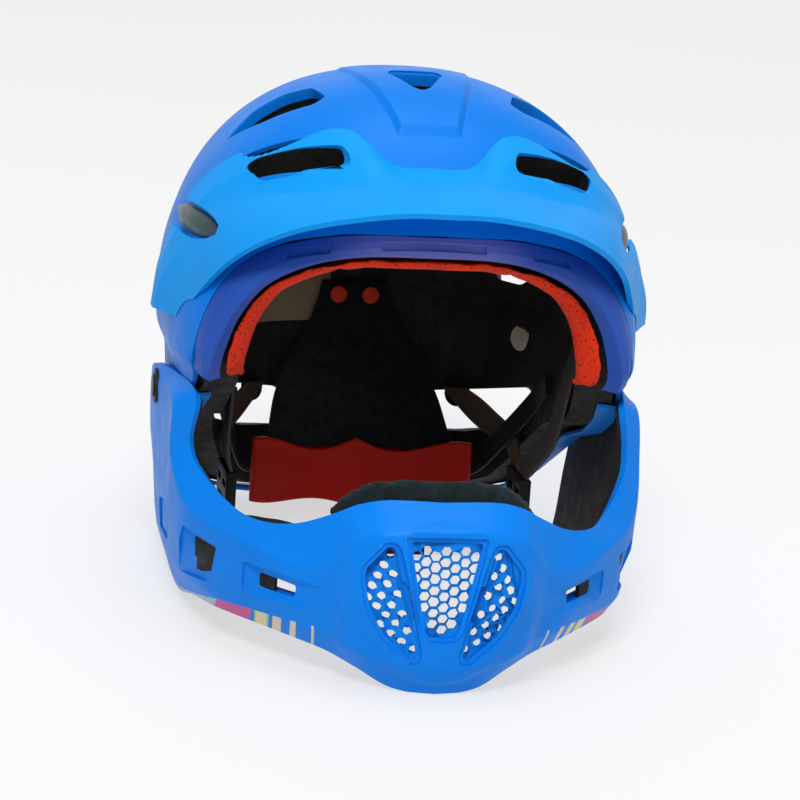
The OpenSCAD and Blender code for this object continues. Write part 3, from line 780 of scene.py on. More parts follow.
UPPER_VENT = [(79.5, -31.5, 205.5), (68, -24.5, 217), (56, -26, 225), (44.5, -33.3, 230),
              (40.5, -48.5, 228), (46, -52.3, 225.4), (55, -49.8, 222), (66.4, -44.9, 215.7)]
BEHIND_VISOR = [(36, -79, 217), (55, -70, 213), (76, -57, 203), (73, -70, 193), (54, -85, 202),
                (37, -92, 207)]
CROWN_NOTCH = [(-9.5, -30, 237), (9.5, -30, 237), (11.5, -36, 236.5), (3.8, -53.5, 233),
               (0, -56.5, 232), (-3.8, -53.5, 233), (-11.5, -36, 236.5)]
CROWN_REAR = [(17, 36, 234), (22, 29, 236), (30, 34, 234), (52, 78, 213), (48, 84, 212),
              (41, 80, 216)]
REAR_LOW = [(27, 97.5, 61), (33, 98, 70), (55, 91, 72.5), (82, 60, 81), (83.5, 56, 76),
            (78, 66, 61), (55, 88, 54), (31, 95, 52.5)]
REAR_LOW_INNER = [(30, 77, 66), (36, 75, 75), (57, 58, 80), (74, 20, 90), (74.5, 14, 85),
                  (70, 28, 69), (53, 64, 58), (34, 74, 57)]
SIDE_REAR = [(70, 89, 134.5), (84, 72, 135.5), (85, 72, 128), (81, 77, 124), (71, 88, 125)]
LINED_VENTS = [(UPPER_VENT, (-0.42, 0.2, -0.88)), (CROWN_REAR, (-0.15, -0.3, -0.94))]
VISOR_VENT_WAY, REAR_LOW_WAY = (-0.15, 0.6, -0.8), (-0.17, -0.96, 0.2)
SKIN, FOAM, FOAM_START = 2.2, 17, 3.3
PIN_X, PIN_Y, PIN_Z = 7.6, 91.5, 118
LATCH_X, LATCH_Y, LATCH_Z = 101, -22, 94
BUTTON_RADIUS = 7.9


def vent_cuts(**more):
    """Plugs for the vents whose blue walls run down into the foam."""
    cuts = []
    for outline, way in LINED_VENTS:
        cuts += both_sides(cutter, outline, way=way, **more)
    cuts.append(cutter(CROWN_NOTCH, (0, 0.12, -1), **more))
    return cuts


def plain_cuts(lip, behind_visor):
    """Plugs for the openings that show the foam's own edge."""
    cuts = both_sides(cutter, SIDE_REAR, way=(-0.3, -0.92, 0.26), corner=2, lip=lip, above=12,
                      depth=45)
    cuts += both_sides(funnel, REAR_LOW, REAR_LOW_INNER, way=REAR_LOW_WAY, corner=2.5,
                       above=8, through=8)
    return cuts + both_sides(cutter, BEHIND_VISOR, way=VISOR_VENT_WAY, corner=3, above=10,
                             depth=behind_visor)


def head_shell():
    """The blue skin with its crown panel, its vents and the blue sleeves that line them."""
    skin = walled("outer_skin", dome(SKIN_RIM, 0), SKIN)
    walls = sleeves(solid_dome(0.35, deep=4.5), vent_cuts(corner=2.5, above=12, depth=26, grow=1.7))
    join_solid(skin, [walls, crown_panel()], "UNION")
    cuts = vent_cuts(corner=2.2, lip=0.7, above=12, depth=45) + plain_cuts(0.7, 40)
    cuts.append(rods("latch_hole", [(0, LATCH_Y, LATCH_Z)], radius=4, length=260))
    join_solid(skin, cuts, "DIFFERENCE")
    return finish(skin, "helmet", SHELL, "top_shell", angle=32)


def foam_liner():
    """The bead foam under the skin, with the holes of the nape panel's pins."""
    foam = walled("bead_liner", dome(FOAM_RIM, FOAM_START, 180, 72), FOAM)
    cuts = vent_cuts(corner=3, above=14, depth=45, grow=1.9) + plain_cuts(0.0, 34)
    pins = [(x, PIN_Y, PIN_Z) for x in (-PIN_X, PIN_X)]
    cuts.append(rods("pin_holes", pins, radius=2.8, length=17, axis="Y"))
    join_solid(foam, cuts, "DIFFERENCE")
    return finish(foam, "helmet", LINER, "foam_liner", angle=35)


head_shell()
foam_liner()


# ---- visor

VISOR_ROWS = [
    [(0, -84, 210), (0, -102, 204), (0, -119, 200.5), (0, -140, 194)],
    [(16, -84, 210), (15, -102, 204), (15, -118, 201), (15, -140, 194)],
    [(28, -80, 216.5), (27, -97, 209.5), (27, -113, 200.5), (27, -138, 192.6)],
    [(38, -74, 218.5), (38, -90, 210.5), (39, -106, 198.5), (38, -135, 190.5)],
    [(51, -68, 216), (52, -83, 208), (54, -99, 194.5), (50, -130, 187.3)],
    [(66, -60, 210), (67, -74, 202), (70, -88, 190.5), (62, -124, 182.8)],
    [(80, -51, 201), (81, -64, 194), (84, -76, 183), (76, -112, 174)],
    [(92, -42, 189), (93, -54, 182), (95, -64, 171), (86, -99, 163.5)],
    [(101, -36, 172), (102, -46, 167), (102.5, -55, 159), (93, -84, 150.5)],
    [(107, -33, 152), (108, -41, 149), (108, -48, 145), (97.5, -71, 139.5)],
    [(109, -34, 135), (110, -39, 134), (109.5, -44, 133), (100, -63, 132)]]
SLOT = [(37.5, -85.5, 213.5), (55, -76, 210), (72, -65, 203), (76, -64.5, 199.2),
        (72.5, -78.5, 194.6), (53, -91.8, 201), (36, -99.2, 205.3), (35.2, -93, 209.5)]
SLOT_BACK = [(38, -81, 209), (55, -71.5, 206), (69, -62, 200), (71.5, -61.5, 197.4),
             (66.5, -74, 195.5), (52.5, -84.5, 202), (37.5, -90, 205.3), (37, -87, 207)]


NOTCH_ANGLE, NOTCH_Z, NOTCH_HALF_ANGLE, NOTCH_HALF_HEIGHT = 73, 172.8, 17, 4.8
VISOR_WALL = 2.5


def side_notch(grow):
    """Pointed oval at the side of the shell: place(u, v) from its rear tip to its front one."""
    def place(u, v, rise=0.0):
        w = u * 2 - 1
        half = NOTCH_HALF_HEIGHT * max(0, 1 - w * w) ** 0.8 + 0.25 + grow
        m = v * 4 - 2
        z, th = NOTCH_Z - 1.2 * w + half * m / 2, NOTCH_ANGLE - (NOTCH_HALF_ANGLE + grow) * w
        on = head_z(z, th, 0)
        out = head_z(z, th, -1) - on
        return on + out * rise * (1 - m * m / 5) * (1 - 0.8 * w * w)
    return place


def notch_cuts():
    """What is cut from the visor at each side, for the pointed cover and for what is behind it."""
    place, n = side_notch(1.6), 9
    notch = ([place(i / n, 1.0) for i in range(n + 1)]
             + [place(i / n, 0.0) for i in range(n, -1, -1)])
    way = head_z(NOTCH_Z, NOTCH_ANGLE, 10) - head_z(NOTCH_Z, NOTCH_ANGLE, 0)
    cuts = both_sides(cutter, notch, way=way, corner=0.3, above=14, depth=12)
    # behind it goes a wedge, a little higher at the rear
    near, far, front, length, middle, half, flare = 94, 114, -34, 30, 173, 6.5, 1.5
    for s in (-1, 1):
        bm = bmesh.new()
        for u in (0, 1):
            for x in (near, far):
                for w in (-half - flare * u, half + flare * u):
                    bm.verts.new((s * x, front + length * u, middle + w))
        bmesh.ops.convex_hull(bm, input=bm.verts)
        bmesh.ops.recalc_face_normals(bm, faces=bm.faces)
        cuts.append(piece("behind_lens", bm))
    return cuts


def visor():
    """The peak: folded sheet with sleeves behind its two slots."""
    place = strip(VISOR_ROWS, [(0, 0, -0.1), (0, 0.1, -0.4), (0, -0.6, 0.4)])
    shade = walled("visor_peak", eased(sheet(240, 48, place), 1), VISOR_WALL)
    back = walled("visor_back", eased(sheet(160, 30, place), 2), VISOR_WALL + 4)
    plugs = both_sides(cutter, SLOT, way=(-0.05, 0.75, -0.65), corner=2.4, above=-0.3, depth=14,
                       grow=1.6)
    join_solid(shade, [sleeves(back, plugs)], "UNION")
    cuts = both_sides(funnel, SLOT, SLOT_BACK, way=(0, 0.6, -0.8), corner=2.6, above=8, through=16)
    cuts += notch_cuts()
    cuts.append(over_shell())
    join_solid(shade, cuts, "DIFFERENCE")
    return finish(shade, "helmet", VISOR, "visor", angle=34, round_off=0.35)


visor()


# ---- pointed covers at the sides

def side_cover(s, name):
    place = side_notch(0)
    bm = sheet(40, 14, lambda u, v: place(u, v, 2.6), centre=(0, -30, 172))
    if s < 0:
        bmesh.ops.scale(bm, vec=(-1, 1, 1), verts=bm.verts)
        bmesh.ops.reverse_faces(bm, faces=bm.faces)
    cover = walled("side_cover_" + name, bm, 1.6)
    return finish(cover, "helmet", LENS, "side_trim_" + name, round_off=0.3)


side_cover(-1, "left")
side_cover(1, "right")


# ---- trim round the face opening

TRIM_IN = [(179.3, 0, 171.5, 0), (178.7, 16, 170.5, 15), (174.8, 30, 165, 28),
           (167.5, 42, 154.5, 39), (157, 50, 140, 46), (143, 56, 126, 50.5),
           (128, 60.5, 116, 54), (114.2, 64, 110, 57)]


RECESS_Z, RECESS_DROP, RECESS_HALF, RECESS_DEPTH = 175.6, 7.5, 1.9, 0.85
RECESSES = [(-11, 11), (23, 34), (-34, -23)]


def recess(first, last):
    """Shallow pocket in the face of the trim, between two angles from the front."""
    line = [first + (last - first) * i / 5 for i in range(6)]

    def spot(th, up):
        return head_z(RECESS_Z - RECESS_DROP * abs(th / 34) ** 2 + up, th, 0)
    outline = ([spot(th, RECESS_HALF) for th in line]
               + [spot(th, -RECESS_HALF) for th in reversed(line)])
    middle = (first + last) / 2
    way = head_z(RECESS_Z, middle, 5) - head_z(RECESS_Z, middle, 0)
    return cutter(outline, way, corner=0.6, above=5, depth=RECESS_DEPTH, narrow=0.3)


def opening_trim():
    """Moulding that runs round the brow and down to the guard, with three shallow recesses."""
    rows = []
    for z0, a0, z1, a1 in TRIM_IN:
        rows.append([head_z(z0, a0, 0), head_z((z0 * 2 + z1) / 3, (a0 * 2 + a1) / 3, -0.6),
                     head_z((z0 + z1 * 2) / 3, (a0 + a1 * 2) / 3, -0.6),
                     head_z(z1, a1, 0.6), head_z(z1 + 0.5, a1 + 0.4, 7)])
    trim = walled("opening_surround", eased(sheet(200, 28, strip(rows)), 2), 2.2)
    join_solid(trim, [recess(*angles) for angles in RECESSES], "DIFFERENCE")
    return finish(trim, "helmet", TRIM, "opening_trim", angle=34, round_off=0.25)


opening_trim()


# ---- chin guard

GUARD_ROWS = [
    [(0, -175, -1), (0, -182.5, 13), (0, -185.5, 40), (0, -183.5, 71), (0, -170, 80)],
    [(18, -172, 2), (20, -180, 14), (20, -184, 40), (20, -181.5, 70.5), (22, -168, 80)],
    [(32, -165, 8.5), (36, -173, 18), (38, -178, 40), (36, -176, 65), (34, -164, 77)],
    [(43, -157.5, 13), (44, -164, 21), (46, -168, 38), (46.5, -168, 52), (44, -159, 71.5)],
    [(55, -147.5, 15.5), (57, -154, 23), (60, -157, 35), (60, -156, 49), (57, -148, 64.5)],
    [(70, -131.5, 17.5), (73, -136, 25), (76.5, -138, 36), (75.3, -140, 53), (69.5, -136, 62)],
    [(83.5, -113, 18.5), (87.5, -117, 26), (90.5, -118, 38), (88.5, -120, 56),
     (79.5, -118, 63.5)],
    [(91, -92, 18), (95, -94, 27), (98.3, -96, 42), (98.8, -98, 61.5), (91.2, -97.5, 73.5)],
    [(93.5, -66, 13), (98, -66, 27), (101.5, -72, 50), (103, -80, 79), (95.5, -86, 83.5)],
    [(94, -38, 12.5), (98, -38, 26), (101, -52, 50), (102.3, -71, 101), (93.8, -80, 105)],
    [(94, -10, 15), (97, -10, 26), (100, -14, 50), (104, -18, 93), (103.5, -22, 104)],
    [(94, 14, 17), (96.5, 14, 27), (98.8, 14, 50), (102, 12, 82), (102.5, 8, 92)],
    [(94, 31, 19), (95.5, 31, 29), (97.2, 30, 48), (99.5, 28, 64), (100, 26, 72)]]
GUARD_CENTRE = (0, -60, 60)
GUARD_WALL = 3
guard_place = strip(GUARD_ROWS)
guard_form = BVHTree.FromBMesh(sheet(220, 40, guard_place, centre=GUARD_CENTRE))
MUZZLE = [(27.5, 69), (34, 60.5), (38.5, 52), (38.5, 46), (33, 31.5), (26, 18), (18.5, 11.5),
          (11, 7), (0, 5)]
MUZZLE_TOP = 69.5
MUZZLE_RISE = 1.5
CENTRE_WINDOW = [(-15, 66.5), (15, 66.5), (7, 29), (5, 26.5), (-5, 26.5), (-7, 29)]
SIDE_WINDOW = [(20, 62), (21.5, 64.3), (24.5, 64.3), (32.5, 54.5), (33, 50), (30.5, 38),
               (24, 26.5), (12, 16), (9.6, 16.5), (9.2, 19)]
NEAR_POCKET = [(76.4, -137.6, 45.3), (60, -156.5, 43.8), (43.5, -170.9, 41.9),
               (38.6, -174.6, 29.8), (60, -156.8, 29.6), (76.3, -136, 29.7)]
NEAR_HOLE = [(69.5, -141, 41.2), (63.3, -148.8, 40.8), (56.9, -156.2, 40), (57.3, -156.3, 34.8),
             (63.4, -149, 35), (69.8, -140.7, 35.4)]
FAR_POCKET = [(97.4, -98.5, 50.4), (86.3, -124, 47.9), (87.4, -121.5, 31.1), (96.6, -83.5, 26.6)]
FAR_HOLE = [(91.5, -104.3, 45.8), (84.6, -118.5, 44.3), (84.8, -118.6, 37.3), (91.7, -104.6, 38)]
EAR_RECESS = [(100.3, -19, 43.2), (101.6, -65.3, 52.7), (101.5, -76.8, 50.2),
              (99.8, -54.6, 31.7), (98.6, -11.5, 28)]


def guard_front(x, z):
    """Where the front of the guard lies behind a point seen from the front."""
    hit = guard_form.ray_cast(Vector((x, -300, z)), Vector((0, 1, 0)))[0]
    return hit.y if hit else -180


def window(points):
    """The points as seen from the front, laid on the raised muzzle."""
    return [(x, guard_front(x, z) - MUZZLE_RISE, z) for x, z in points]


def muzzle_rise(x, z):
    """How far the muzzle stands out of the guard at a point seen from the front."""
    x = abs(x)
    inside = MUZZLE_TOP + 4 * ease(1 - x / 27.5) - z
    for (ax, az), (bx, bz) in zip(MUZZLE, MUZZLE[1:]):
        along = math.hypot(bx - ax, bz - az)
        inside = min(inside, ((bz - az) * (x - ax) - (bx - ax) * (z - az)) / along)
    return MUZZLE_RISE * ease(inside / 2.6 + 0.5)


def guard_face(u, v):
    p = guard_place(u, v)
    if p.y < -150:
        p.y -= muzzle_rise(p.x, p.z)
    return p


def pocket_cuts():
    """Scooped pockets with their holes, and the shallow recess at each ear."""
    cuts = []
    for outer, inner, way in ((NEAR_POCKET, NEAR_HOLE, (-0.62, 0.78, 0)),
                              (FAR_POCKET, FAR_HOLE, (-0.95, 0.3, 0))):
        cuts += both_sides(funnel, outer, inner, way=way, corner=1.6, above=7, through=14)
    return cuts + both_sides(cutter, EAR_RECESS, way=(-1, 0, 0), corner=4, lip=1.2, above=5,
                             depth=1.0)


def window_cuts():
    """The three grille windows: a sunk rim round each, and the opening within it."""
    back = (0, 1, 0)
    centre, beside = window(CENTRE_WINDOW), window(SIDE_WINDOW)
    cuts = [cutter(centre, back, corner=2.4, lip=0.7, above=8, depth=0.6, grow=1.9),
            cutter(centre, back, corner=2.0, above=8, depth=14)]
    cuts += both_sides(cutter, beside, way=back, corner=1.6, lip=0.7, above=8, depth=0.6, grow=1.5)
    return cuts + both_sides(cutter, beside, way=back, corner=1.5, above=10, depth=14, grow=-0.5)


def chin_guard():
    """The folded guard, thicker round its pockets, cut for its grilles and its buttons."""
    shape = eased(sheet(300, 64, guard_face, centre=GUARD_CENTRE), 2)
    guard = walled("guard_shell", shape, GUARD_WALL)
    plugs = both_sides(cutter, NEAR_POCKET, way=(-0.7, 0.7, 0), corner=3, above=6, depth=16,
                       grow=1.5)
    plugs += both_sides(cutter, FAR_POCKET, way=(-0.95, 0.3, 0), corner=3, above=6, depth=14,
                        grow=1.5)
    back = guard_part("guard_back", (0, 1), (0, 1), GUARD_WALL + 6, across=200, up=44)
    join_solid(guard, [sleeves(back, plugs)], "UNION")
    cuts = pocket_cuts() + window_cuts()
    for x in (-LATCH_X, LATCH_X):
        cuts.append(rods("button_hole", [(x, LATCH_Y, LATCH_Z)], BUTTON_RADIUS, length=22,
                         segments=48))
    cuts.append(over_shell())
    join_solid(guard, cuts, "DIFFERENCE")
    floor_level(guard)
    return finish(guard, "guard", GUARD, "chin_guard", angle=30, round_off=0.3)


def guard_part(name, ends, edges, wall, across, up, offset=-1.0):
    """A wall under part of the guard's face, between shares of its length and of its height."""
    (left, right), (low, high) = ends, edges

    def place(u, v):
        return guard_place(left + (right - left) * u, low + (high - low) * v)
    return walled(name, eased(sheet(across, up, place, centre=GUARD_CENTRE), 2), wall, offset)


def floor_level(made):
    """Cuts what would stand below the floor."""
    with edit(made) as bm:
        floor_point = UPRIGHT @ Vector((0, 0, 0))
        down = (UPRIGHT @ Vector((0, 0, -1)) - floor_point).normalized()
        cut = bmesh.ops.bisect_plane(bm, geom=bm.verts[:] + bm.edges[:] + bm.faces[:], dist=1e-4,
                                     plane_co=floor_point, plane_no=down, clear_outer=True)
        edges = [g for g in cut["geom_cut"] if isinstance(g, bmesh.types.BMEdge)]
        if edges:
            bmesh.ops.holes_fill(bm, edges=edges, sides=0)


chin_guard()


# ---- pieces that keep the CAD's shape, with their edges rounded

GRILLE_BEHIND = 1.1


def own_form(node):
    """The form that the node has in the CAD, its doubles merged."""
    bm = bmesh.new()
    bm.from_mesh(NODE[node].data)
    bmesh.ops.remove_doubles(bm, verts=bm.verts, dist=1e-6)
    return bm


def dressed(node, body, look, width, segments=2, moved=None):
    """The node's own shape, its edges rounded by width."""
    bm = own_form(node)
    bmesh.ops.dissolve_limit(bm, angle_limit=math.radians(0.6), verts=bm.verts, edges=bm.edges)
    if moved:
        moved(bm)
    made = rounded(piece(node + "_dressed", bm), width * 0.001, 30, segments)
    return finish(made, body, look, node, angle=38, stand=False)


def bowed(bm, wider=1.0):
    """Bends a flat grille so that it lies just behind the curved front of the guard."""
    spots = {v: UPRIGHT @ v.co for v in bm.verts}
    # the face of the flat insert runs between its two front corners
    left = min(spots.values(), key=lambda p: p.x + 0.02 * p.y)
    right = max(spots.values(), key=lambda p: p.x - 0.02 * p.y)
    for v, p in spots.items():
        share = (p.x - left.x) / (right.x - left.x)
        face = left.y + share * (right.y - left.y)
        p.y += guard_front(p.x, p.z) + GRILLE_BEHIND - face
        p.x += (share - 0.5) * (wider - 1) * (right.x - left.x)
        v.co = STAND @ p


def side_bowed(bm):
    """The same, with the edges run under the rim of the window."""
    bowed(bm, 1.09)


for side in ("left", "right"):
    dressed("latch_seat_" + side, "guard", PART, 0.35)
    dressed("latch_button_" + side, "button_" + side, LATCH, 0.6, 3)
    dressed("grille_" + side, "guard", GUARD, 0.18, moved=side_bowed)
    dressed("divider_" + side, "helmet", PART, 0.6)
    dressed("band_" + side, "band_" + side, PART, 0.2)
dressed("grille_centre", "guard", GUARD, 0.18, moved=bowed)
dressed("visor_pins", "helmet", POST, 0.3)
dressed("dial_housing", "helmet", RED, 0.8, 3)
dressed("dial", "dial", LATCH, 0.4)
dressed("hanger_pins", "helmet", PIN, 0.3)
dressed("strap_anchors", "helmet", PART, 0.5)
dressed("buckle_socket", "helmet", PART, 1.0, 3)
dressed("buckle_plug", "buckle_plug", PART, 0.7)
dressed("neck_trim", "helmet", SHELL, 0.4)


# ---- nape panel, cradle and the guard's lining

# height, distance behind the middle and half width, from the top down
HANGER_ROWS = [(124, 87.4, 15), (113, 86.2, 18), (100, 83.2, 24), (88, 78.5, 32),
               (76, 72.5, 38), (66, 65.5, 41), (57, 57.5, 43), (51.8, 55, 44)]
HANGER_BEND = 0.0075
CRADLE_Y, CRADLE_HALF, CRADLE_BOW, CRADLE_TOP, CRADLE_LOW = 53, 51, 19.5, 56, 23


def nape_panel():
    """Bell-shaped panel that hangs from the two pins and carries the cradle."""
    def place(u, v):
        z, y, half = curve(HANGER_ROWS, v)
        x = (2 * u - 1) * half
        return (x, y - HANGER_BEND * x * x, z)
    panel = walled("nape_panel", sheet(40, 48, place, centre=(0, 0, 90)), 1.2, 0)
    pins = [(x, 86, PIN_Z) for x in (-PIN_X, PIN_X)]
    holes = rods("pin_holes", pins, radius=2.5, length=14, axis="Y")
    join_solid(panel, [holes], "DIFFERENCE")
    return finish(panel, "helmet", PANEL, "hanger", round_off=0.25)


def cradle():
    """Red band behind the head: its upper edge has a hump in the middle and rises at the ends."""
    def place(u, v):
        w = 2 * u - 1
        dip = sine(270 * abs(w))
        high = CRADLE_TOP - 5 * dip - 2 * w * w
        low = CRADLE_LOW + 9 * w * w + 3 * dip
        bow = 0.4 * ease(3 - 3 * abs(2 * v - 1))
        return (CRADLE_HALF * w, CRADLE_Y - CRADLE_BOW * w * w + bow, low + (high - low) * v)
    band = walled("rear_cradle", sheet(72, 20, place, centre=(0, -40, 40)), 2.2, 0)
    return finish(band, "helmet", RED, "cradle", round_off=0.5)


def guard_lining():
    """Foam along the upper inner edge of the guard, and over the whole inside of its arms."""
    lining = guard_part("guard_lining", (0.17, 0.83), (0.80, 0.985), wall=7.4, across=150, up=8)
    arms = [guard_part("arm_lining", ends, (0.05, 0.985), wall=5.2, across=90, up=40)
            for ends in ((0.02, 0.315), (0.685, 0.98))]
    join_solid(lining, arms, "UNION")
    # the block reaches from outside the guard to just under its inner face
    block = guard_part("guard_block", (0, 1), (0, 1), wall=8, across=200, up=44, offset=0.14)
    join_solid(lining, [block, over_shell(gap=0.8, deep=26)], "DIFFERENCE")
    floor_level(lining)
    return finish(lining, "guard", CHIN_LINING, "chin_foam", round_off=0.3)


nape_panel()
cradle()
guard_lining()


# ---- webbing: flat strips that follow their route

STRAP_WIDE, STRAP_THICK = 15, 1.4
BAND_WIDE, BAND_THICK = 11, 1.2


def web(name, node, side, course, look, wide=STRAP_WIDE, thick=STRAP_THICK, body="helmet"):
    """Flat strip along a course: its route, and the way its width lies at each point."""
    route, across = course
    s = -1 if side == "left" else 1
    length = sum((Vector(b) - Vector(a)).length for a, b in zip(route, route[1:]))
    steps = max(16, int(length / 2))

    def place(u, v):
        way = curve(across, v).normalized()
        p = curve(route, v) + way * wide * (u - 0.5)
        return (s * p.x, p.y, p.z)
    bm = sheet(8, steps, place, centre=(0, 0, 60), uv=(wide * 0.001, length * 0.001))
    made = walled(name + side, bm, thick, 0)
    return finish(made, body, look, node + side, angle=50, round_off=0.22)


FRONT_STRAP = ([(77.2, -55, 125), (74.2, -50, 104), (73, -36, 80), (69.5, -17, 63),
                (67, -8.7, 54.4)],
               [(0, 1, 0), (0, 1, 0.15), (0, 1, 0.5), (0, 1, 0.3), (0, 1, 0)])
REAR_STRAP = ([(47.3, 64.05, 79), (58.6, 47, 69), (67.4, 25, 63), (67, 7.7, 54.4)],
              [(0.65, -0.76, 0.1), (0.4, -0.76, 0.7), (0.16, -1, 0.6), (0, -1, 0)])
CHIN_STRAP = ([(67, -1, 33.4), (64, -1, 28), (53, 0, 22.6), (38, 2, 20.4), (25, 3, 20)],
              [(0, 1, 0)] * 5)
HEADBAND = ([(26, 60.4, 40), (36, 60.4, 40), (47, 56.2, 42.5), (56, 43, 49), (64, 24, 66),
             (72.2, 4, 86), (73.8, -14, 99)],
            [(0, 0, 1), (0, 0, 1), (0, 0, 1), (0, 0.2, 1), (0, 0.45, 1), (0, 0.6, 1),
             (0, 0.6, 1)])

for side in ("right", "left"):
    web("front_webbing_", "front_strap_", side, FRONT_STRAP, WEB)
    web("rear_webbing_", "rear_strap_", side, REAR_STRAP, WEB_TAN)
    web("head_strip_", "headband_", side, HEADBAND, PART, BAND_WIDE, BAND_THICK)
web("chin_webbing_", "chin_strap_", "left", CHIN_STRAP, WEB)
chin_web = web("chin_webbing_", "chin_strap_", "right", CHIN_STRAP, WEB, body=None)
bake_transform(chin_web)


# ---- padding

def drawn_in(bm, depth):
    """Moves each point of the surface inwards by its depth."""
    bm.normal_update()
    for v, way in [(v, v.normal.copy()) for v in bm.verts]:
        v.co -= way * depth(v.co)
    return bm


def stuffed(made, node, body, look, voxel, swell, fill, quilt=None):
    """Fills the pad until its cover is taut, then sews its channels."""
    m = made.modifiers.new("even", "REMESH")
    m.mode = "VOXEL"
    m.voxel_size = voxel
    bake(made)
    with edit(made) as bm:
        eased(bm, 8)
    filled(made, swell)
    if quilt:
        with edit(made) as bm:
            drawn_in(bm, lambda place: quilt(UPRIGHT @ place) * 0.001)
    m = made.modifiers.new("smooth", "SUBSURF")
    m.levels = m.render_levels = 1
    bake(made)
    finish(made, body, look, node, angle=80, stand=False)


def filled(made, swell, pressure=4, frames=20):
    """Blows the cover up as cloth. No point moves further than swell."""
    start = [v.co.copy() for v in made.data.vertices]
    m = made.modifiers.new("filling", "CLOTH")
    m.settings.use_pressure = True
    m.settings.uniform_pressure_force = pressure
    m.settings.effector_weights.gravity = 0
    m.collision_settings.use_collision = False
    m.point_cache.frame_start, m.point_cache.frame_end = 1, frames
    for step in range(1, frames + 1):
        scene.frame_set(step)
    bake(made)
    for v, s in zip(made.data.vertices, start):
        move = v.co - s
        if move.length > swell:
            v.co = s + move.normalized() * swell
    scene.frame_set(1)


def brow_cushion():
    """Pad over the brow: it lies on the foam's inner face and rolls under the foam's edge,
    so that an orange line shows below the trim."""
    half = 58
    edges = [(angle, z) for _, _, z, angle in TRIM_IN]

    def place(u, v):
        th = half * (2 * u - 1)
        low, rest = lookup(abs(th), edges), rim(FOAM_RIM, th)
        wide = 4.4 + 3.6 * ease((abs(th) - 34) / 14)
        hang = 2.3 - 1.5 * ease((abs(th) - 30) / 16)
        # depth under the skin and height, from the inside of the foam to under its edge
        t, z = curve([(22.8, rest + 4.2 * wide, 0), (23.2, rest + 2, 0),
                      (20, min(low - 0.6 * hang, rest), 0), (14, low - 0.9 * hang, 0),
                      (9, low - 0.5 * hang, 0)], v)[:2]
        return head_z(z, th, t)
    pad = walled("brow_cushion", sheet(120, 22, place, centre=(0, -20, 60)), 2.2, 1.0)
    with edit(pad) as bm:
        bmesh.ops.transform(bm, matrix=STAND, verts=bm.verts)
    return pad


def brow_channels(p):
    """Sewn lines across the brow pad, in millimetres of depth."""
    th = math.degrees(math.atan2(p.x, AXIS_Y - p.y))
    return 1.1 * math.exp(-((abs(abs(th) - 27) / 1.6) ** 2))


stuffed(brow_cushion(), "brow_pad", "helmet", ORANGE, voxel=0.0017, swell=0.0009, fill=0.5,
        quilt=brow_channels)
for node, name, body, look, shrink, voxel, swell, fill in (
        ("crown_pad", "crown_cushion", "helmet", ORANGE, 0.0009, 0.003, 0.002, 0.5),
        ("chin_pad", "chin_cushion", "guard", PILE, 0.0006, 0.0018, 0.0012, 0.7),
        ("strap_pad", "strap_cushion", "helmet", PILE, 0.0006, 0.0022, 0.0012, 0.5)):
    form = drawn_in(own_form(node), lambda place: shrink)
    stuffed(piece(name, form), node, body, look, voxel, swell, fill)


# ---- blank labels inside the liner

inner_form = BVHTree.FromBMesh(dome(FOAM_RIM, FOAM_START + FOAM, 120, 60))


def label(name, spot, across, up, look):
    """A thin blank label that lies on the inner face of the foam, near the spots."""
    def place(u, v):
        p = Vector(spot(u, v))
        middle = Vector((0, 0, p.z * 0.5 + 50))
        hit, way, _, _ = inner_form.ray_cast(middle, (p - middle).normalized())
        if way.dot(middle - hit) < 0:
            way = -way
        return hit + way * 0.25
    finish(walled(name, sheet(across, up, place), 0.2), "helmet", look, angle=50)


def tan_spot(u, v):
    low = Vector((-53, 71.4, 104.6)).lerp(Vector((-8.2, 86, 105)), u)
    high = Vector((-50, 77, 127.5)).lerp(Vector((-11.6, 89, 128.4)), u)
    return low.lerp(high, v)


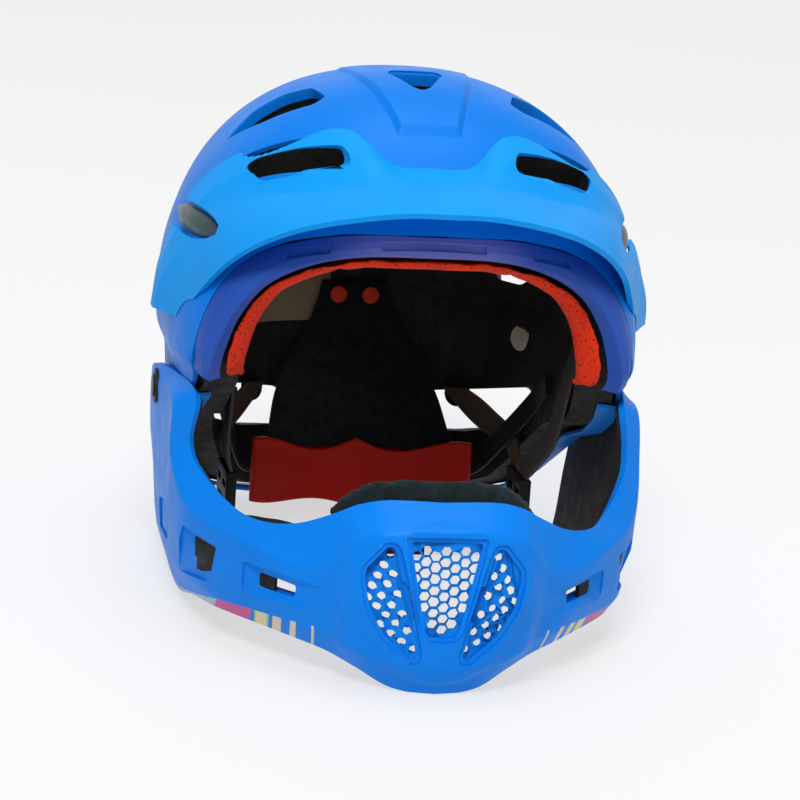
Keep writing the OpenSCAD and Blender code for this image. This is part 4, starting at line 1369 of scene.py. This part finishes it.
def oval_spot(u, v):
    """The square of u and v turned into a disc."""
    a, b = 2 * u - 1, 2 * v - 1
    x, z = a * math.sqrt(1 - b * b / 2), b * math.sqrt(1 - a * a / 2)
    return (72 - 4.0 * x, 38 + 6.5 * x, 109 + 6.0 * z)


label("tan_label", tan_spot, 24, 14, LABEL)
label("pale_label", oval_spot, 16, 16, DOT)


# ---- floor, backdrop and light

def glowing(name, glow, diffuse):
    """A matt white that gives off light of its own, like a lit table or paper."""
    mat = Finish(name, roughness=0.7, specular_level=0.1)
    cloud = mat.noise(1.5, 2.0).ramp(0.3, 0.7)
    mat.set("Base Color", mat.mix(cloud, diffuse, toned(diffuse, 0.98)))
    mat.set("Emission Color", mat.mix(cloud, (1, 1, 1), (0.995, 0.995, 0.995)))
    mat.set("Emission Strength", glow)
    return mat.data


def card(name, size, matrix, material):
    """A flat square of the set."""
    bm = bmesh.new()
    bmesh.ops.create_grid(bm, x_segments=2, y_segments=2, size=size, matrix=matrix)
    made = piece(name, bm)
    made.data.materials.append(material)


def lamp(name, place, aim, size, power):
    data = bpy.data.lights.new(name, "AREA")
    data.shape = "RECTANGLE"
    data.size, data.size_y = size
    data.energy = power
    made = bpy.data.objects.new(name, data)
    scene.collection.objects.link(made)
    made.location = place
    made.rotation_euler = (Vector(aim) - Vector(place)).to_track_quat("-Z", "Y").to_euler()


card("floor", 8, Matrix.Identity(4), glowing("floor_white", glow=0.62, diffuse=(0.28, 0.28, 0.285)))
card("backdrop", 6, Matrix.Translation((0, 7.5, 0)) @ Matrix.Rotation(math.pi / 2, 4, "X"),
     glowing("backdrop_white", glow=0.9, diffuse=(0.1, 0.1, 0.1)))
lamp("key", (-0.5, -1.6, 2.2), (0, 0, 0.12), (0.9, 0.7), 44)
lamp("top", (0.1, 0.2, 2.4), (0, 0, 0.1), (1.4, 1.4), 24)
lamp("fill", (1.8, -0.8, 0.9), (0, 0, 0.12), (1.2, 1.2), 3)
world = bpy.data.worlds.new("studio")
scene.world = world
world.use_nodes = True
sky = world.node_tree.nodes["Background"]
sky.inputs["Color"].default_value = (0.97, 0.98, 1.0, 1)
sky.inputs["Strength"].default_value = 0.32
scene.view_settings.view_transform = "Standard"
